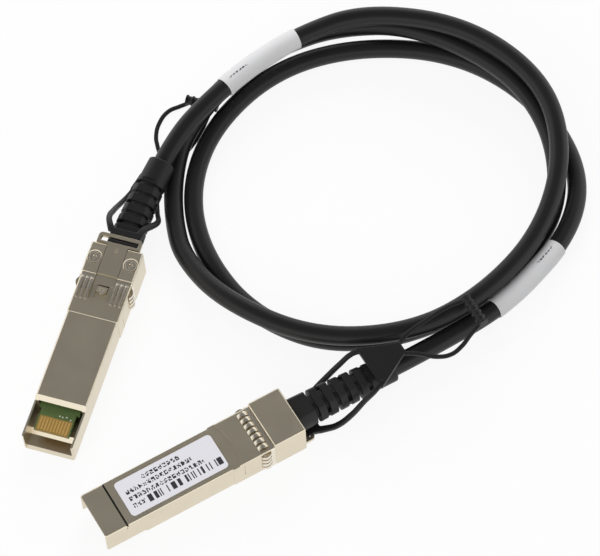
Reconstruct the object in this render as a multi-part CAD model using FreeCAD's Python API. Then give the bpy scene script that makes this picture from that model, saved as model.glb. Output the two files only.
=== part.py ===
# Direct attach copper cable: two pluggable metal plugs joined by one round twinax cable.
# Millimetres, +Z up. Plug B lies along +X, latch side down; plug A lies across, latch side up.
import FreeCAD, Part
import math
import os
from FreeCAD import Vector

# Plug, in its own frame: x from the nose to the cable, y across, z from the latch face to the label face
plugLength = 56.5
blockLength = 9.0
noseWidth = 13.4
bodyWidth = 13.7
blockWidth = 13.9
bodyHeight = 8.6
noseStep = 0.2            # the nose part is this much lower on both faces
blockProudLatch = 0.4
blockProudLabel = 1.2
wall = 1.0
latchWall = 1.2
labelWall = 0.8
edgeRound = 0.5
blockRound = 0.8
blockBevel = 0.45
noseBevel = 0.2
noseBevelLength = 0.4
latchStepBack = 20.5      # where the nose part ends on the latch face, from the block's rear face
labelStepBack = 17.6      # crown of the arc that ends the label field, from the block's rear face
labelArcRise = 1.2
labelArcLap = 2.0
labelFieldStart = 5.9
labelRecess = 0.3
windowLength = 10.4       # cut-back latch wall over the contacts
windowBevel = 1.3
leadLength = 0.75         # slope inside the mouth's lip
leadDepth = 0.6
padStart = 14.0           # small pads inside the cover, in front and at the back
padBack = 18.5
padLength = 4.0
beyond = 1.0              # how far a cutting shape reaches past what it cuts

# Circuit card and what is on it
cardThickness = 1.0
cardSeat = 2.25           # card underside above the latch face
cardNoseGap = 3.2
cardBack = 10.3           # the card's end, from the block's rear face
cardWidth = 10.6
tongueWidth = 9.2
tongueLength = 6.3
ledgeWidth = 0.6
contactCount = 10
contactPitch = 0.8
contactWidth = 0.5
contactLength = 3.6
contactSetback = 0.2
contactThickness = 0.05
chipStart = 19.0
chipLength = 4.9
chipWidth = 3.9
chipHeight = 1.1
partLength = 1.0
partWidth = 0.5
partHeight = 0.5
partPlaces = [(14, 3.4), (14, -3.4), (26.5, 2.2), (26.5, -2.2), (29.5, 0), (33, 3.0), (33, -3.0)]

# Cable, its clamp and its boot
cableDiameter = 5.0
axisHeight = 5.2          # cable axis above the latch face
fitGap = 0.03             # parts that seat in one another
tailBack = 7.9            # the jacket's end in the block, from the rear face, as the other sizes named back
clampWall = 0.45
clampBack = 3.5
coreDiameter = 1.0
coreBack = 13.9
coreSpacing = 1.25
coreCount = 4
bootLength = 28.5         # from the block's rear face
bootRootRadius = 4.6
bootTipRadius = 3.85
bootFlat = 3.4            # half height between the boot's two flats
cuffLength = 6.2
cuffRadius = 3.75
cuffEndRadius = 3.6
cuffEndRound = 0.5
bootNeckRadius = 3.5
bootFlangeRadius = 4.1
bootFlangeBack = 3.1
bootFlangeLength = 1.1
grooveCount = 6
grooveWidth = 1.1
grooveFirst = 4.9
lastRibLength = 1.05
grooveFloor = 2.95
bridgeWidth = 1.4
bridgeInset = 0.25
bridgeLap = 0.3
bendOffsetA = (2.45, -1.95)   # how far boot A's free end is bent aside and towards the latch face
bendOffsetB = (-0.75, 0.0)

# Latch slider, its boss and its springs
stripWidth = 5.5
stripThickness = 1.0
stripSink = 0.05          # the strip lies this much under the block's latch face
wingWidth = 7.8
wingLength = 2.0
wingBack = 8.4
wingThickness = 0.65
slideGap = 0.1
travel = 2.5
ringWidth = 11.7
ringReach = 3.2           # how far the stirrup ring stands out behind the block
ringBar = 1.05
ringRoot = 0.8
ringSideBar = 0.9
tineInner = 1.55
tineBack = 15.6
tineRamp = 1.7
tineEdge = 0.15
tineThickness = 0.6
tongueBack = 11.5
bossWidth = 2.6
bossBack = 14.4
bossLength = 2.3
bossPoint = 0.9
bossHeight = 0.4
springLength = 5.0
springWire = 0.25
springWidth = 0.85
springFolds = 7
springDepth = 0.6

# Screws
screwBack = 4.3
screwY = 4.85
screwHeadRadius = 1.62
screwHeadHeight = 0.7
screwRadius = 0.8
screwReach = 7.6
crossLength = 1.9
crossWidth = 0.45
crossDepth = 0.45
counterboreDepth = 0.8
counterboreGap = 0.13

# Spring finger collar in front of the block
sheet = 0.2
collarBack = 10.1
collarLength = 1.0
fingerLap = 0.1
tipLift = 0.05
labelFingers = 7
labelFingerPitch = 1.72
labelFingerLength = 2.5
latchFingers = 3          # each side of the slider
latchFingerPitch = 1.22
latchFingerLength = 6.2
sideFingers = 4
sideFingerPitch = 1.72
sideFingerLength = 2.5
fingerWidth = 1.25
latchFingerWidth = 0.95
fingerRise = 0.6
latchFingerRise = 0.18    # no prouder than the block, so that the plug lies flat

# Pull tab, moulded in one soft piece; the two tabs are the same part, lying differently
tabThickness = 1.3
hookReach = 0.95          # the hook's start behind the block
hookLength = 0.95
hookWidth = 8.0
barGap = 0.15
tabBaseLow = 0.75         # centre of the base above the latch face
baseReach = 5.4
armWidth = 1.9
armEndWidth = 1.2
loopThickness = 0.7
loopWidth = 1.15
loopReach = 30.5          # where the loop's strands leave the plate
gripReach = 52.5
strapBeyond = 2.5         # the side view ends this far behind the grip
gripLength = 8.8
gripRadius = 1.15
gripRibRadius = 1.4
gripRibs = 6
gripRibWidth = 0.6

# Side view of each tab as (x, z), then its top view as (x, y), with x from the block's rear face: centre lines of
# the arms, and of the loop's strands with x as the share of the way from the plate to the grip. Slip is how far
# the hook lies to one side in the stirrup ring.
tabA = {
    "slip": 0.85,
    "side": [(hookReach, tabBaseLow), (7.1, tabBaseLow), (18.0, 9.95), (27.0, 9.95), (32.5, 11.35),
             (gripReach + strapBeyond, 12.2)],
    "arms": [[(4.8, 3.95), (6.4, 4.25), (8.0, 4.95), (9.5, 5.75), (11.5, 6.3), (13.0, 6.15), (14.5, 5.45),
              (16.0, 4.7), (17.5, 4.1), (19.5, 3.3), (23.0, 2.1)],
             [(4.8, -3.95), (6.4, -4.6), (9.0, -5.6), (12.5, -5.95), (16.0, -5.75), (19.5, -4.9), (23.0, -3.8)]],
    "plate": [(22.0, -4.9), (27.0, -3.8), (32.0, -1.5), (32.0, 1.5), (28.5, 1.8), (25.0, 2.3), (22.0, 3.5)],
    "loop": [[(0, -0.9), (0.195, -1.2), (0.3, -2.5), (0.425, -3.8), (0.62, -4.3), (0.81, -3.1), (0.91, -0.8),
              (1, 1.4)],
             [(0, 0.9), (0.135, 2.6), (0.275, 4.8), (0.46, 6.4), (0.68, 7.2), (0.84, 7.4), (1, 7.5)]],
    "grip": (4.9, 11.05),
}
tabB = {
    "slip": -0.85,
    "side": [(hookReach, tabBaseLow), (8.5, tabBaseLow), (21.0, 10.35), (29.5, 10.45), (35.5, 11.9),
             (gripReach + strapBeyond, 12.25)],
    "arms": [[(4.8, 3.95), (6.4, 4.5), (9.0, 5.4), (13.0, 5.8), (17.0, 5.8), (20.5, 5.7), (23.0, 4.9)],
             [(4.8, -4.5), (6.4, -5.1), (9.0, -6.1), (13.0, -6.65), (17.0, -6.4), (20.5, -6.2), (23.0, -5.3)]],
    "plate": [(22.0, -6.8), (26.5, -4.4), (32.0, -1.5), (32.0, 1.5), (26.5, 3.9), (22.0, 6.3)],
    "loop": [[(0, 0.9), (0.205, 2.5), (0.455, 3.1), (0.725, 3.6), (1, 3.0)],
             [(0, -0.9), (0.16, -3.6), (0.33, -7.2), (0.475, -8.4), (0.635, -7.8), (0.795, -6.2), (1, -4.4)]],
    "grip": (-0.8, 12.25),
}

# Label plate
labelStart = 8.4
labelBack = 20.9
labelWidth = 10.4
labelThickness = 0.12
labelCorner = 1.0

# Where the plugs lie
rearB = Vector(3.4, -45.25, 0)          # the middle of each block's rear face, over the floor
rearA = Vector(-11.375, 17.96, 0)
headingA = 42.8
tiltA = 2.2

# Marker sleeves: distance of each from its boot along the cable, and their size
sleeveLength = 24.5
sleeveWall = 0.3
sleeveFromA = 27.0
sleeveFromB = 31.0


def box(x0, x1, y0, y1, z0, z1):
    return Part.makeBox(x1 - x0, y1 - y0, z1 - z0, Vector(x0, y0, z0))


def centredBox(x0, x1, width, z0, z1):
    return box(x0, x1, -width / 2, width / 2, z0, z1)


def rodAlong(x0, x1, radius, y=0.0, z=axisHeight):
    return Part.makeCylinder(radius, x1 - x0, Vector(x0, y, z), Vector(1, 0, 0))


def rodUp(x, y, z0, z1, radius):
    return Part.makeCylinder(radius, z1 - z0, Vector(x, y, z0))


def roundedRing(x, halfWidth, low, high, corner):
    # a closed rounded rectangle that stands across the plug at x
    def at(y, z):
        return Vector(x, y, z)
    edges = []
    corners = [(halfWidth, low, -90), (halfWidth, high, 0), (-halfWidth, high, 90), (-halfWidth, low, 180)]
    arcs = []
    for y, z, start in corners:
        cy = y - math.copysign(corner, y)
        cz = z + corner if z == low else z - corner
        angles = [math.radians(start + turn) for turn in (0, 45, 90)]
        arcs.append([at(cy + corner * math.cos(angle), cz + corner * math.sin(angle)) for angle in angles])
    for index, points in enumerate(arcs):
        edges.append(Part.Arc(*points).toShape())
        edges.append(Part.LineSegment(points[2], arcs[(index + 1) % 4][0]).toShape())
    return Part.Wire(edges)


def skin(rings):
    return Part.makeLoft(rings, True, True)


def polygonPrism(points, direction):
    face = Part.Face(Part.makePolygon(points + [points[0]]))
    return face.extrude(direction)


def joined(first, others):
    return first.fuse(others).removeSplitter()


blockStart = plugLength - blockLength
latchStepX = plugLength - latchStepBack
labelStepX = plugLength - labelStepBack
cardEnd = plugLength - cardBack
tailStart = plugLength - tailBack
clampEnd = plugLength - clampBack
coreStart = plugLength - coreBack
bootFlangeStart = plugLength - bootFlangeBack
bootFlangeEnd = bootFlangeStart + bootFlangeLength
groovePitch = (bootLength - cuffLength - lastRibLength - grooveFirst - grooveWidth) / (grooveCount - 1)
wingStart = plugLength - wingBack
ringEnd = plugLength + ringReach
ringWindowStart = plugLength + ringRoot
tineTip = plugLength - tineBack
tongueStart = plugLength - tongueBack
bossStart = plugLength - bossBack
screwX = plugLength - screwBack
collarStart = plugLength - collarBack
collarEnd = collarStart + collarLength
labelFingerTip = collarStart - labelFingerLength
latchFingerTip = collarStart - latchFingerLength
sideFingerTip = collarStart - sideFingerLength
hookStart = plugLength + hookReach
gripX = plugLength + gripReach
labelEnd = plugLength - labelBack
blockLow = -blockProudLatch
blockHigh = bodyHeight + blockProudLabel
split = cardSeat + cardThickness
cavityHalf = noseWidth / 2 - wall
cavityHigh = bodyHeight - labelRecess - labelWall
bossEnd = bossStart + bossLength
stripLow = blockLow + stripSink
stripHigh = stripLow + stripThickness
channelHigh = stripHigh + slideGap
wingLow = channelHigh + 2 * slideGap
wingHigh = wingLow + wingThickness
tineLow = stripSink
tineHigh = tineLow + tineThickness
cableRadius = cableDiameter / 2
clampRadius = cableRadius + fitGap + clampWall
prismLow = -20.0          # top views are cut from prisms this low and this tall
prismTall = Vector(0, 0, 50.0)


def outerBody():
    # the plug's outside before it is divided: nose part, rear part and block
    nose = skin([
        roundedRing(0, noseWidth / 2 - noseBevel / 2, noseStep / 2 + noseBevel,
                    bodyHeight - noseStep - noseBevel, edgeRound),
        roundedRing(noseBevelLength, noseWidth / 2, noseStep / 2, bodyHeight - noseStep, edgeRound),
        roundedRing(latchStepX, noseWidth / 2, noseStep / 2, bodyHeight - noseStep, edgeRound)])
    rear = skin([
        roundedRing(latchStepX - noseStep, noseWidth / 2, noseStep / 2, bodyHeight - noseStep, edgeRound),
        roundedRing(latchStepX + noseStep, bodyWidth / 2, 0, bodyHeight, edgeRound),
        roundedRing(blockStart + blockBevel, bodyWidth / 2, 0, bodyHeight, edgeRound)])
    half = blockWidth / 2
    block = skin([
        roundedRing(blockStart, half - blockBevel, blockLow + blockBevel, blockHigh - blockBevel, blockRound),
        roundedRing(blockStart + blockBevel, half, blockLow, blockHigh, blockRound),
        roundedRing(plugLength - blockBevel, half, blockLow, blockHigh, blockRound),
        roundedRing(plugLength, half - blockBevel, blockLow + blockBevel, blockHigh - blockBevel, blockRound)])
    return joined(nose, [rear, block])


def cableHollows():
    # what both shells leave free for the card, the cores, the clamp, the boot's neck and the screws
    cavity = centredBox(-beyond, cardEnd + beyond, 2 * cavityHalf, latchWall, cavityHigh)
    cores = centredBox(cardEnd, tailStart, 2 * clampRadius, cardSeat, axisHeight + clampRadius)
    clamp = rodAlong(tailStart - fitGap, clampEnd + fitGap, clampRadius + fitGap)
    jacket = rodAlong(clampEnd, plugLength, cableRadius + fitGap)
    flange = rodAlong(bootFlangeStart - fitGap, bootFlangeEnd + fitGap, bootFlangeRadius + fitGap)
    neck = rodAlong(bootFlangeEnd, plugLength + beyond, bootNeckRadius + fitGap)
    screws = [rodUp(screwX, side * screwY, blockLow, screwReach + fitGap, screwRadius + fitGap) for side in (-1, 1)]
    return [cavity, cores, clamp, jacket, flange, neck] + screws


def slideChannel():
    # the way of the strip, of the wings behind the lips, and of the springs behind the wings
    width = stripWidth + 2 * slideGap
    strip = centredBox(tongueStart - slideGap, plugLength + beyond, width, blockLow - beyond, channelHigh)
    tines = centredBox(tineTip - slideGap, tongueStart, width, blockLow - beyond, tineHigh + slideGap)
    wings = centredBox(wingStart - slideGap, wingStart + wingLength + travel + slideGap,
                       wingWidth + 2 * slideGap, channelHigh - slideGap, wingHigh + slideGap)
    hollows = [strip, tines, wings]
    for side in (-1, 1):
        middle = side * springMiddle()
        hollows.append(box(wingStart + wingLength, wingStart + wingLength + springLength + slideGap,
                           middle - springWidth / 2 - slideGap, middle + springWidth / 2 + slideGap,
                           channelHigh - slideGap, wingHigh + slideGap))
    return hollows


def springMiddle():
    return wingWidth / 2 - springWidth / 2


def baseShell(outer):
    shell = outer.common(box(-beyond, plugLength + beyond, -bodyWidth, bodyWidth, blockLow - beyond, split))
    shell = shell.cut(cableHollows())
    ledges = [box(windowLength, cardEnd, side * cavityHalf - (ledgeWidth if side > 0 else 0),
                  side * cavityHalf + (0 if side > 0 else ledgeWidth), latchWall, cardSeat) for side in (-1, 1)]
    window = centredBox(-beyond, windowLength, bodyWidth + beyond, blockLow - beyond, windowBevel)
    opening = centredBox(-beyond, windowLength, 2 * cavityHalf, blockLow - beyond, cardSeat + beyond)
    bevel = polygonPrism([Vector(windowLength - fitGap, -bodyWidth, windowBevel),
                          Vector(windowLength - fitGap, -bodyWidth, blockLow),
                          Vector(windowLength + windowBevel - blockLow, -bodyWidth, blockLow)],
                         Vector(0, 2 * bodyWidth, 0))
    shell = joined(shell, ledges)
    shell = shell.cut([window, opening, bevel] + slideChannel())
    bores = [rodUp(screwX, side * screwY, blockLow - beyond, blockLow + counterboreDepth,
                   screwHeadRadius + counterboreGap) for side in (-1, 1)]
    shell = shell.cut(bores)
    floor = tineHigh + slideGap
    half = bossWidth / 2
    boss = polygonPrism([Vector(bossStart, 0, -bossHeight), Vector(bossStart + bossPoint, half, -bossHeight),
                         Vector(bossEnd, half, -bossHeight), Vector(bossEnd, -half, -bossHeight),
                         Vector(bossStart + bossPoint, -half, -bossHeight)], Vector(0, 0, bossHeight + floor))
    return joined(shell, [boss])


def labelField():
    radius = (noseWidth ** 2 / 4 + labelArcRise ** 2) / (2 * labelArcRise)
    low = bodyHeight - labelRecess
    middle = labelStepX - radius
    lap = labelStepX - labelArcRise - labelArcLap
    flat = centredBox(labelFieldStart, lap, 2 * bodyWidth, low, bodyHeight + beyond)
    disc = rodUp(middle, 0, low, bodyHeight + beyond, radius)
    ahead = centredBox(lap, labelStepX + beyond, 2 * bodyWidth, low, bodyHeight + beyond)
    return flat.fuse(disc.common(ahead))


def mouthLead():
    # the slope behind the mouth's lip, down to the floor of the cavity
    slope = leadDepth / leadLength
    return polygonPrism([Vector(leadLength + fitGap, -cavityHalf, cavityHigh - slope * fitGap),
                         Vector(-beyond, -cavityHalf, cavityHigh - slope * fitGap),
                         Vector(-beyond, -cavityHalf, cavityHigh + slope * (leadLength + beyond))],
                        Vector(0, 2 * cavityHalf, 0))


def coverShell(outer):
    shell = outer.common(box(-beyond, plugLength + beyond, -bodyWidth, bodyWidth, split, blockHigh + beyond))
    shell = shell.cut(cableHollows() + [labelField(), mouthLead()])
    pads = []
    for start in (padStart, plugLength - padBack):
        for side in (-1, 1):
            inner = cavityHalf - ledgeWidth
            low, high = sorted((side * inner, side * cavityHalf))
            pads.append(box(start, start + padLength, low, high, split, cavityHigh))
    return joined(shell, pads)


def finger(root, tip, width, rise):
    # one bowed contact finger on a face at height 0, its root at x = root
    middle = (root + tip) / 2
    outerTip = Vector(tip, 0, sheet + tipLift)
    innerTip = Vector(tip, 0, tipLift)
    outside = Part.Arc(Vector(root, 0, sheet), Vector(middle, 0, rise + sheet), outerTip)
    inside = Part.Arc(innerTip, Vector(middle, 0, rise), Vector(root, 0, 0))
    edges = [outside.toShape(), Part.LineSegment(outerTip, innerTip).toShape(),
             inside.toShape(), Part.LineSegment(Vector(root, 0, 0), Vector(root, 0, sheet)).toShape()]
    blade = Part.Face(Part.Wire(edges)).extrude(Vector(0, width, 0))
    blade.translate(Vector(0, -width / 2, 0))
    return blade


def onFace(blade, face, across):
    if face == "label":
        blade.translate(Vector(0, across, bodyHeight))
    elif face == "latch":
        blade.rotate(Vector(0, 0, 0), Vector(1, 0, 0), 180)
        blade.translate(Vector(0, across, 0))
    else:
        side = 1 if face == "left" else -1
        blade.rotate(Vector(0, 0, 0), Vector(1, 0, 0), -90 * side)
        blade.translate(Vector(0, side * bodyWidth / 2, across))
    return blade


def fingerCollar():
    outside = skin([roundedRing(x, bodyWidth / 2 + sheet, -sheet, bodyHeight + sheet, edgeRound + sheet)
                    for x in (collarStart, collarEnd)])
    inside = skin([roundedRing(x, bodyWidth / 2, 0, bodyHeight, edgeRound)
                   for x in (collarStart - beyond, collarEnd + beyond)])
    band = outside.cut(inside)
    band = band.cut(centredBox(collarStart - beyond, collarEnd + beyond, stripWidth + 4 * slideGap, -beyond, beyond))
    root = collarStart + fingerLap
    blades = []
    for index in range(labelFingers):
        across = (index - (labelFingers - 1) / 2) * labelFingerPitch
        blades.append(onFace(finger(root, labelFingerTip, fingerWidth, fingerRise), "label", across))
    firstLatch = stripWidth / 2 + 2 * slideGap + latchFingerWidth / 2
    for index in range(latchFingers):
        for side in (-1, 1):
            across = side * (firstLatch + index * latchFingerPitch)
            blades.append(onFace(finger(root, latchFingerTip, latchFingerWidth, latchFingerRise), "latch", across))
    for index in range(sideFingers):
        across = bodyHeight / 2 + (index - (sideFingers - 1) / 2) * sideFingerPitch
        for face in ("left", "right"):
            blades.append(onFace(finger(root, sideFingerTip, fingerWidth, fingerRise), face, across))
    return joined(band, blades)


def screwPair():
    screws = []
    low = blockLow + counterboreDepth - screwHeadHeight
    for side in (-1, 1):
        y = side * screwY
        head = rodUp(screwX, y, low, low + screwHeadHeight, screwHeadRadius)
        shank = rodUp(screwX, y, low + screwHeadHeight, screwReach, screwRadius)
        cross = [box(screwX - a / 2, screwX + a / 2, y - b / 2, y + b / 2, low - beyond, low + crossDepth)
                 for a, b in ((crossLength, crossWidth), (crossWidth, crossLength))]
        screws.append(joined(head, [shank]).cut(cross))
    return Part.makeCompound(screws)


def circuitCard():
    start = cardNoseGap
    card = centredBox(start + tongueLength, cardEnd, cardWidth, cardSeat, split)
    tongue = centredBox(start, start + tongueLength, tongueWidth, cardSeat, split)
    return joined(card, [tongue])


def contactRow():
    pads = []
    start = cardNoseGap + contactSetback
    for index in range(contactCount):
        middle = (index - (contactCount - 1) / 2) * contactPitch
        for low in (cardSeat - contactThickness, split):
            pads.append(box(start, start + contactLength, middle - contactWidth / 2, middle + contactWidth / 2,
                            low, low + contactThickness))
    return Part.makeCompound(pads)


def cardParts():
    chip = centredBox(chipStart, chipStart + chipLength, chipWidth, split, split + chipHeight)
    small = [box(x, x + partLength, y - partWidth / 2, y + partWidth / 2, split, split + partHeight)
             for x, y in partPlaces]
    return Part.makeCompound([chip] + small)


def coreWires():
    low = split + coreDiameter / 2 + fitGap
    wires = [rodAlong(coreStart, tailStart, coreDiameter / 2, (index - (coreCount - 1) / 2) * coreSpacing, low)
             for index in range(coreCount)]
    return Part.makeCompound(wires)


def clampRing():
    bore = rodAlong(tailStart - beyond, clampEnd + beyond, cableRadius + fitGap)
    return rodAlong(tailStart, clampEnd, clampRadius).cut(bore)


def bootSpot(bend, distance):
    # a place on the boot's axis, which leaves the block straight and bends evenly to one side
    aside = Vector(0, bend[0], bend[1])
    turn = 2 * aside.Length / bootLength
    radius = bootLength / turn
    aside.normalize()
    angle = max(distance, 0.0) / radius
    spot = Vector(plugLength + min(distance, 0.0), 0, axisHeight)
    spot = spot + Vector(radius * math.sin(angle), 0, 0) + aside * (radius * (1 - math.cos(angle)))
    return FreeCAD.Placement(spot, FreeCAD.Rotation(Vector(1, 0, 0).cross(aside), math.degrees(angle)))


def bootAxis(bend, begin, end):
    # the axis as edges: straight inside the block, an arc behind it
    edges = []
    if begin < 0:
        edges.append(Part.LineSegment(bootSpot(bend, begin).Base, bootSpot(bend, 0).Base).toShape())
    start = max(begin, 0.0)
    spots = [bootSpot(bend, distance).Base for distance in (start, (start + end) / 2, end)]
    edges.append(Part.Arc(*spots).toShape())
    return edges


def jacketTail(bend):
    return tubeAlong(bootAxis(bend, tailStart - plugLength, bootLength), cableRadius)


def bootRadius(distance):
    share = distance / (bootLength - cuffLength)
    return bootRootRadius + (bootTipRadius - bootRootRadius) * share


def bootRib(bend, begin, end):
    # one rib between two grooves, flat above and below
    rib = Part.makeCone(bootRadius(begin), bootRadius(end), end - begin, Vector(0, 0, 0), Vector(1, 0, 0))
    rib = rib.common(centredBox(0, end - begin, 3 * bootRootRadius, -bootFlat, bootFlat))
    rib.Placement = bootSpot(bend, begin).multiply(rib.Placement)
    return rib


def bootBridge(bend, begin, upright):
    # the web that joins two ribs across a groove: on the two flats or on the two sides
    reach = bootRadius(begin) - bridgeInset
    end = grooveWidth + bridgeLap
    if upright:
        web = centredBox(-bridgeLap, end, bridgeWidth, -bootFlat + bridgeInset, bootFlat - bridgeInset)
    else:
        web = centredBox(-bridgeLap, end, 2 * reach, -bridgeWidth / 2, bridgeWidth / 2)
    web.Placement = bootSpot(bend, begin).multiply(web.Placement)
    return web


def strainBoot(bend):
    pieces = [tubeAlong(bootAxis(bend, bootFlangeStart - plugLength, bootLength - cuffEndRound), grooveFloor)]
    begin = 0.0
    for index in range(grooveCount):
        groove = grooveFirst + index * groovePitch
        pieces.append(bootRib(bend, begin, groove))
        pieces.append(bootBridge(bend, groove, index % 2 == 0))
        begin = groove + grooveWidth
    pieces.append(bootRib(bend, begin, bootLength - cuffLength))
    cuff = Part.makeCone(cuffRadius, cuffEndRadius, cuffLength - cuffEndRound, Vector(0, 0, 0), Vector(1, 0, 0))
    tip = Part.makeCone(cuffEndRadius, cuffEndRadius - cuffEndRound, cuffEndRound,
                        Vector(cuffLength - cuffEndRound, 0, 0), Vector(1, 0, 0))
    cuff = joined(cuff, [tip])
    cuff.Placement = bootSpot(bend, bootLength - cuffLength).multiply(cuff.Placement)
    neck = rodAlong(bootFlangeStart, plugLength, bootNeckRadius)
    flange = rodAlong(bootFlangeStart, bootFlangeEnd, bootFlangeRadius)
    boot = pieces[0]
    for piece in pieces[1:] + [cuff, neck, flange]:
        boot = boot.fuse(piece)
    boot = boot.removeSplitter()
    axis = bootAxis(bend, bootFlangeStart - beyond - plugLength, bootLength + beyond)
    bore = tubeAlong(axis, cableRadius + fitGap)
    return boot.cut(bore)


def latchSlider():
    strip = centredBox(tongueStart, plugLength + slideGap, stripWidth, stripLow, stripHigh)
    overBody = centredBox(tongueStart - beyond, blockStart + blockBevel + slideGap, stripWidth + beyond,
                          blockLow - beyond, tineLow)
    strip = strip.cut(overBody)
    wings = centredBox(wingStart, wingStart + wingLength, wingWidth, wingLow, wingHigh)
    web = centredBox(wingStart, wingStart + wingLength, stripWidth, stripLow, wingHigh)
    ring = centredBox(plugLength + slideGap, ringEnd, ringWidth, stripLow, stripHigh)
    window = centredBox(ringWindowStart, ringEnd - ringBar, ringWidth - 2 * ringSideBar,
                        stripLow - beyond, stripHigh + beyond)
    ring = ring.cut(window)
    tines = []
    for side in (-1, 1):
        low, high = sorted((side * tineInner, side * stripWidth / 2))
        tines.append(polygonPrism([Vector(tineTip, low, tineHigh), Vector(tongueStart, low, tineHigh),
                                   Vector(tongueStart, low, tineLow), Vector(tineTip + tineRamp, low, tineLow),
                                   Vector(tineTip, low, tineHigh - tineEdge)], Vector(0, high - low, 0)))
    return joined(strip, [wings, web, ring] + tines)


def returnSprings():
    springs = []
    start = wingStart + wingLength
    pitch = (springLength - springWire) / springFolds
    for side in (-1, 1):
        middle = side * springMiddle()
        bars = []
        low = wingLow
        for index in range(springFolds + 1):
            x = start + index * pitch
            bars.append(box(x, x + springWire, middle - springWidth / 2, middle + springWidth / 2,
                            low, low + springDepth))
            if index < springFolds:
                edge = 1 if index % 2 else -1
                y0, y1 = sorted((middle + edge * springWidth / 2, middle + edge * (springWidth / 2 - springWire)))
                bars.append(box(x, x + pitch + springWire, y0, y1, low, low + springDepth))
        springs.append(joined(bars[0], bars[1:]))
    return Part.makeCompound(springs)


def roundedPath(points):
    # straight runs joined by tangent arcs: each arc starts at 0.45 of its shorter run from the corner
    edges = []
    radii = []
    start = points[0]
    for before, corner, after in zip(points, points[1:], points[2:]):
        incoming = corner - before
        outgoing = after - corner
        reach = 0.45 * min(incoming.Length, outgoing.Length)
        turn = incoming.getAngle(outgoing)
        radius = reach / math.tan(turn / 2)
        radii.append(radius)
        arcStart = corner - Vector(incoming).normalize() * reach
        arcEnd = corner + Vector(outgoing).normalize() * reach
        toCentre = Vector((arcStart + arcEnd) * 0.5 - corner).normalize()
        middle = corner + toCentre * (radius / math.cos(turn / 2) - radius)
        edges.append(Part.LineSegment(start, arcStart).toShape())
        edges.append(Part.Arc(arcStart, middle, arcEnd).toShape())
        start = arcEnd
    edges.append(Part.LineSegment(start, points[-1]).toShape())
    return edges, radii


def tubeAlong(edges, radius):
    start = edges[0].valueAt(edges[0].FirstParameter)
    ahead = edges[0].tangentAt(edges[0].FirstParameter)
    ring = Part.Wire([Part.Circle(start, ahead, radius).toShape()])
    return Part.Wire(edges).makePipeShell([ring], True, True)


def stretchOf(edges, begin, end):
    # the part of a path between two distances from its start
    kept = []
    passed = 0.0
    for edge in edges:
        low = max(begin - passed, 0.0)
        high = min(end - passed, edge.Length)
        if high - low > 0.001:
            first = edge.getParameterByLength(low)
            last = edge.getParameterByLength(high)
            kept.append(edge.Curve.toShape(first, last))
        passed += edge.Length
    return kept


def ribbon(side, thickness):
    # a wide strap that follows a tab's side view
    edges, radii = roundedPath([Vector(plugLength + x, 0, z) for x, z in side])
    x, z = side[0]
    x += plugLength
    half = thickness / 2
    section = Part.makePolygon([Vector(x, -bodyWidth, z - half), Vector(x, bodyWidth, z - half),
                                Vector(x, bodyWidth, z + half), Vector(x, -bodyWidth, z + half),
                                Vector(x, -bodyWidth, z - half)])
    return Part.Wire(edges).makePipeShell([section], True, True)


def smoothEdge(points):
    curve = Part.BSplineCurve()
    curve.interpolate(points)
    return curve.toShape()


def bandAlong(points, width, endWidth):
    # an upright prism whose top view follows the points and narrows from one width to the other
    places = [Vector(plugLength + x, y, prismLow) for x, y in points]
    rims = ([], [])
    for index, place in enumerate(places):
        before = places[max(index - 1, 0)]
        after = places[min(index + 1, len(places) - 1)]
        left = 1 - index / (len(places) - 1)
        here = endWidth + (width - endWidth) * left ** 2
        across = Vector(0, 0, 1).cross(after - before).normalize() * (here / 2)
        rims[0].append(place + across)
        rims[1].append(place - across)
    rims[1].reverse()
    edges = [smoothEdge(rims[0]), Part.LineSegment(rims[0][-1], rims[1][0]).toShape(),
             smoothEdge(rims[1]), Part.LineSegment(rims[1][-1], rims[0][0]).toShape()]
    return Part.Face(Part.Wire(edges)).extrude(prismTall)


def platePrism(points):
    return polygonPrism([Vector(plugLength + x, y, prismLow) for x, y in points], prismTall)


def pullTab(shape):
    near = shape["slip"] - hookWidth / 2
    far = shape["slip"] + hookWidth / 2
    farBase, nearBase = [arm[0][1] + math.copysign(armWidth / 2, arm[0][1]) for arm in shape["arms"]]
    base = platePrism([(hookReach, near), (hookReach, far), (ringReach, far), (baseReach, farBase),
                       (baseReach, nearBase), (ringReach, near)])
    arms = [bandAlong(arm, armWidth, armEndWidth) for arm in shape["arms"]]
    plan = joined(base, arms + [platePrism(shape["plate"])])
    strap = ribbon(shape["side"], tabThickness).common(plan)
    loop = [bandAlong([(loopReach + share * (gripReach - loopReach), y) for share, y in strand], loopWidth, loopWidth)
            for strand in shape["loop"]]
    thin = ribbon(shape["side"], loopThickness)
    strands = [thin.common(strand) for strand in loop]
    hookEnd = hookStart + hookLength
    hook = box(hookStart, hookEnd, near, far, stripLow + slideGap, tabBaseLow + tabThickness / 2)
    barRoom = centredBox(hookEnd, ringEnd + slideGap, ringWidth + beyond, stripLow - beyond, stripHigh + barGap)
    middle, height = shape["grip"]
    low = middle - gripLength / 2
    grip = Part.makeCylinder(gripRadius, gripLength, Vector(gripX, low, height), Vector(0, 1, 0))
    ribs = []
    for index in range(gripRibs):
        y = low + index * (gripLength - gripRibWidth) / (gripRibs - 1)
        ribs.append(Part.makeCylinder(gripRibRadius, gripRibWidth, Vector(gripX, y, height), Vector(0, 1, 0)))
    return joined(strap.cut(barRoom), strands + [hook, grip] + ribs)


def labelPlate():
    low = bodyHeight - labelRecess
    plate = centredBox(labelStart, labelEnd, labelWidth, low, low + labelThickness)
    uprights = [edge for edge in plate.Edges if abs(edge.tangentAt(edge.FirstParameter).z) > 0.9]
    return plate.makeFillet(labelCorner, uprights)


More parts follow.
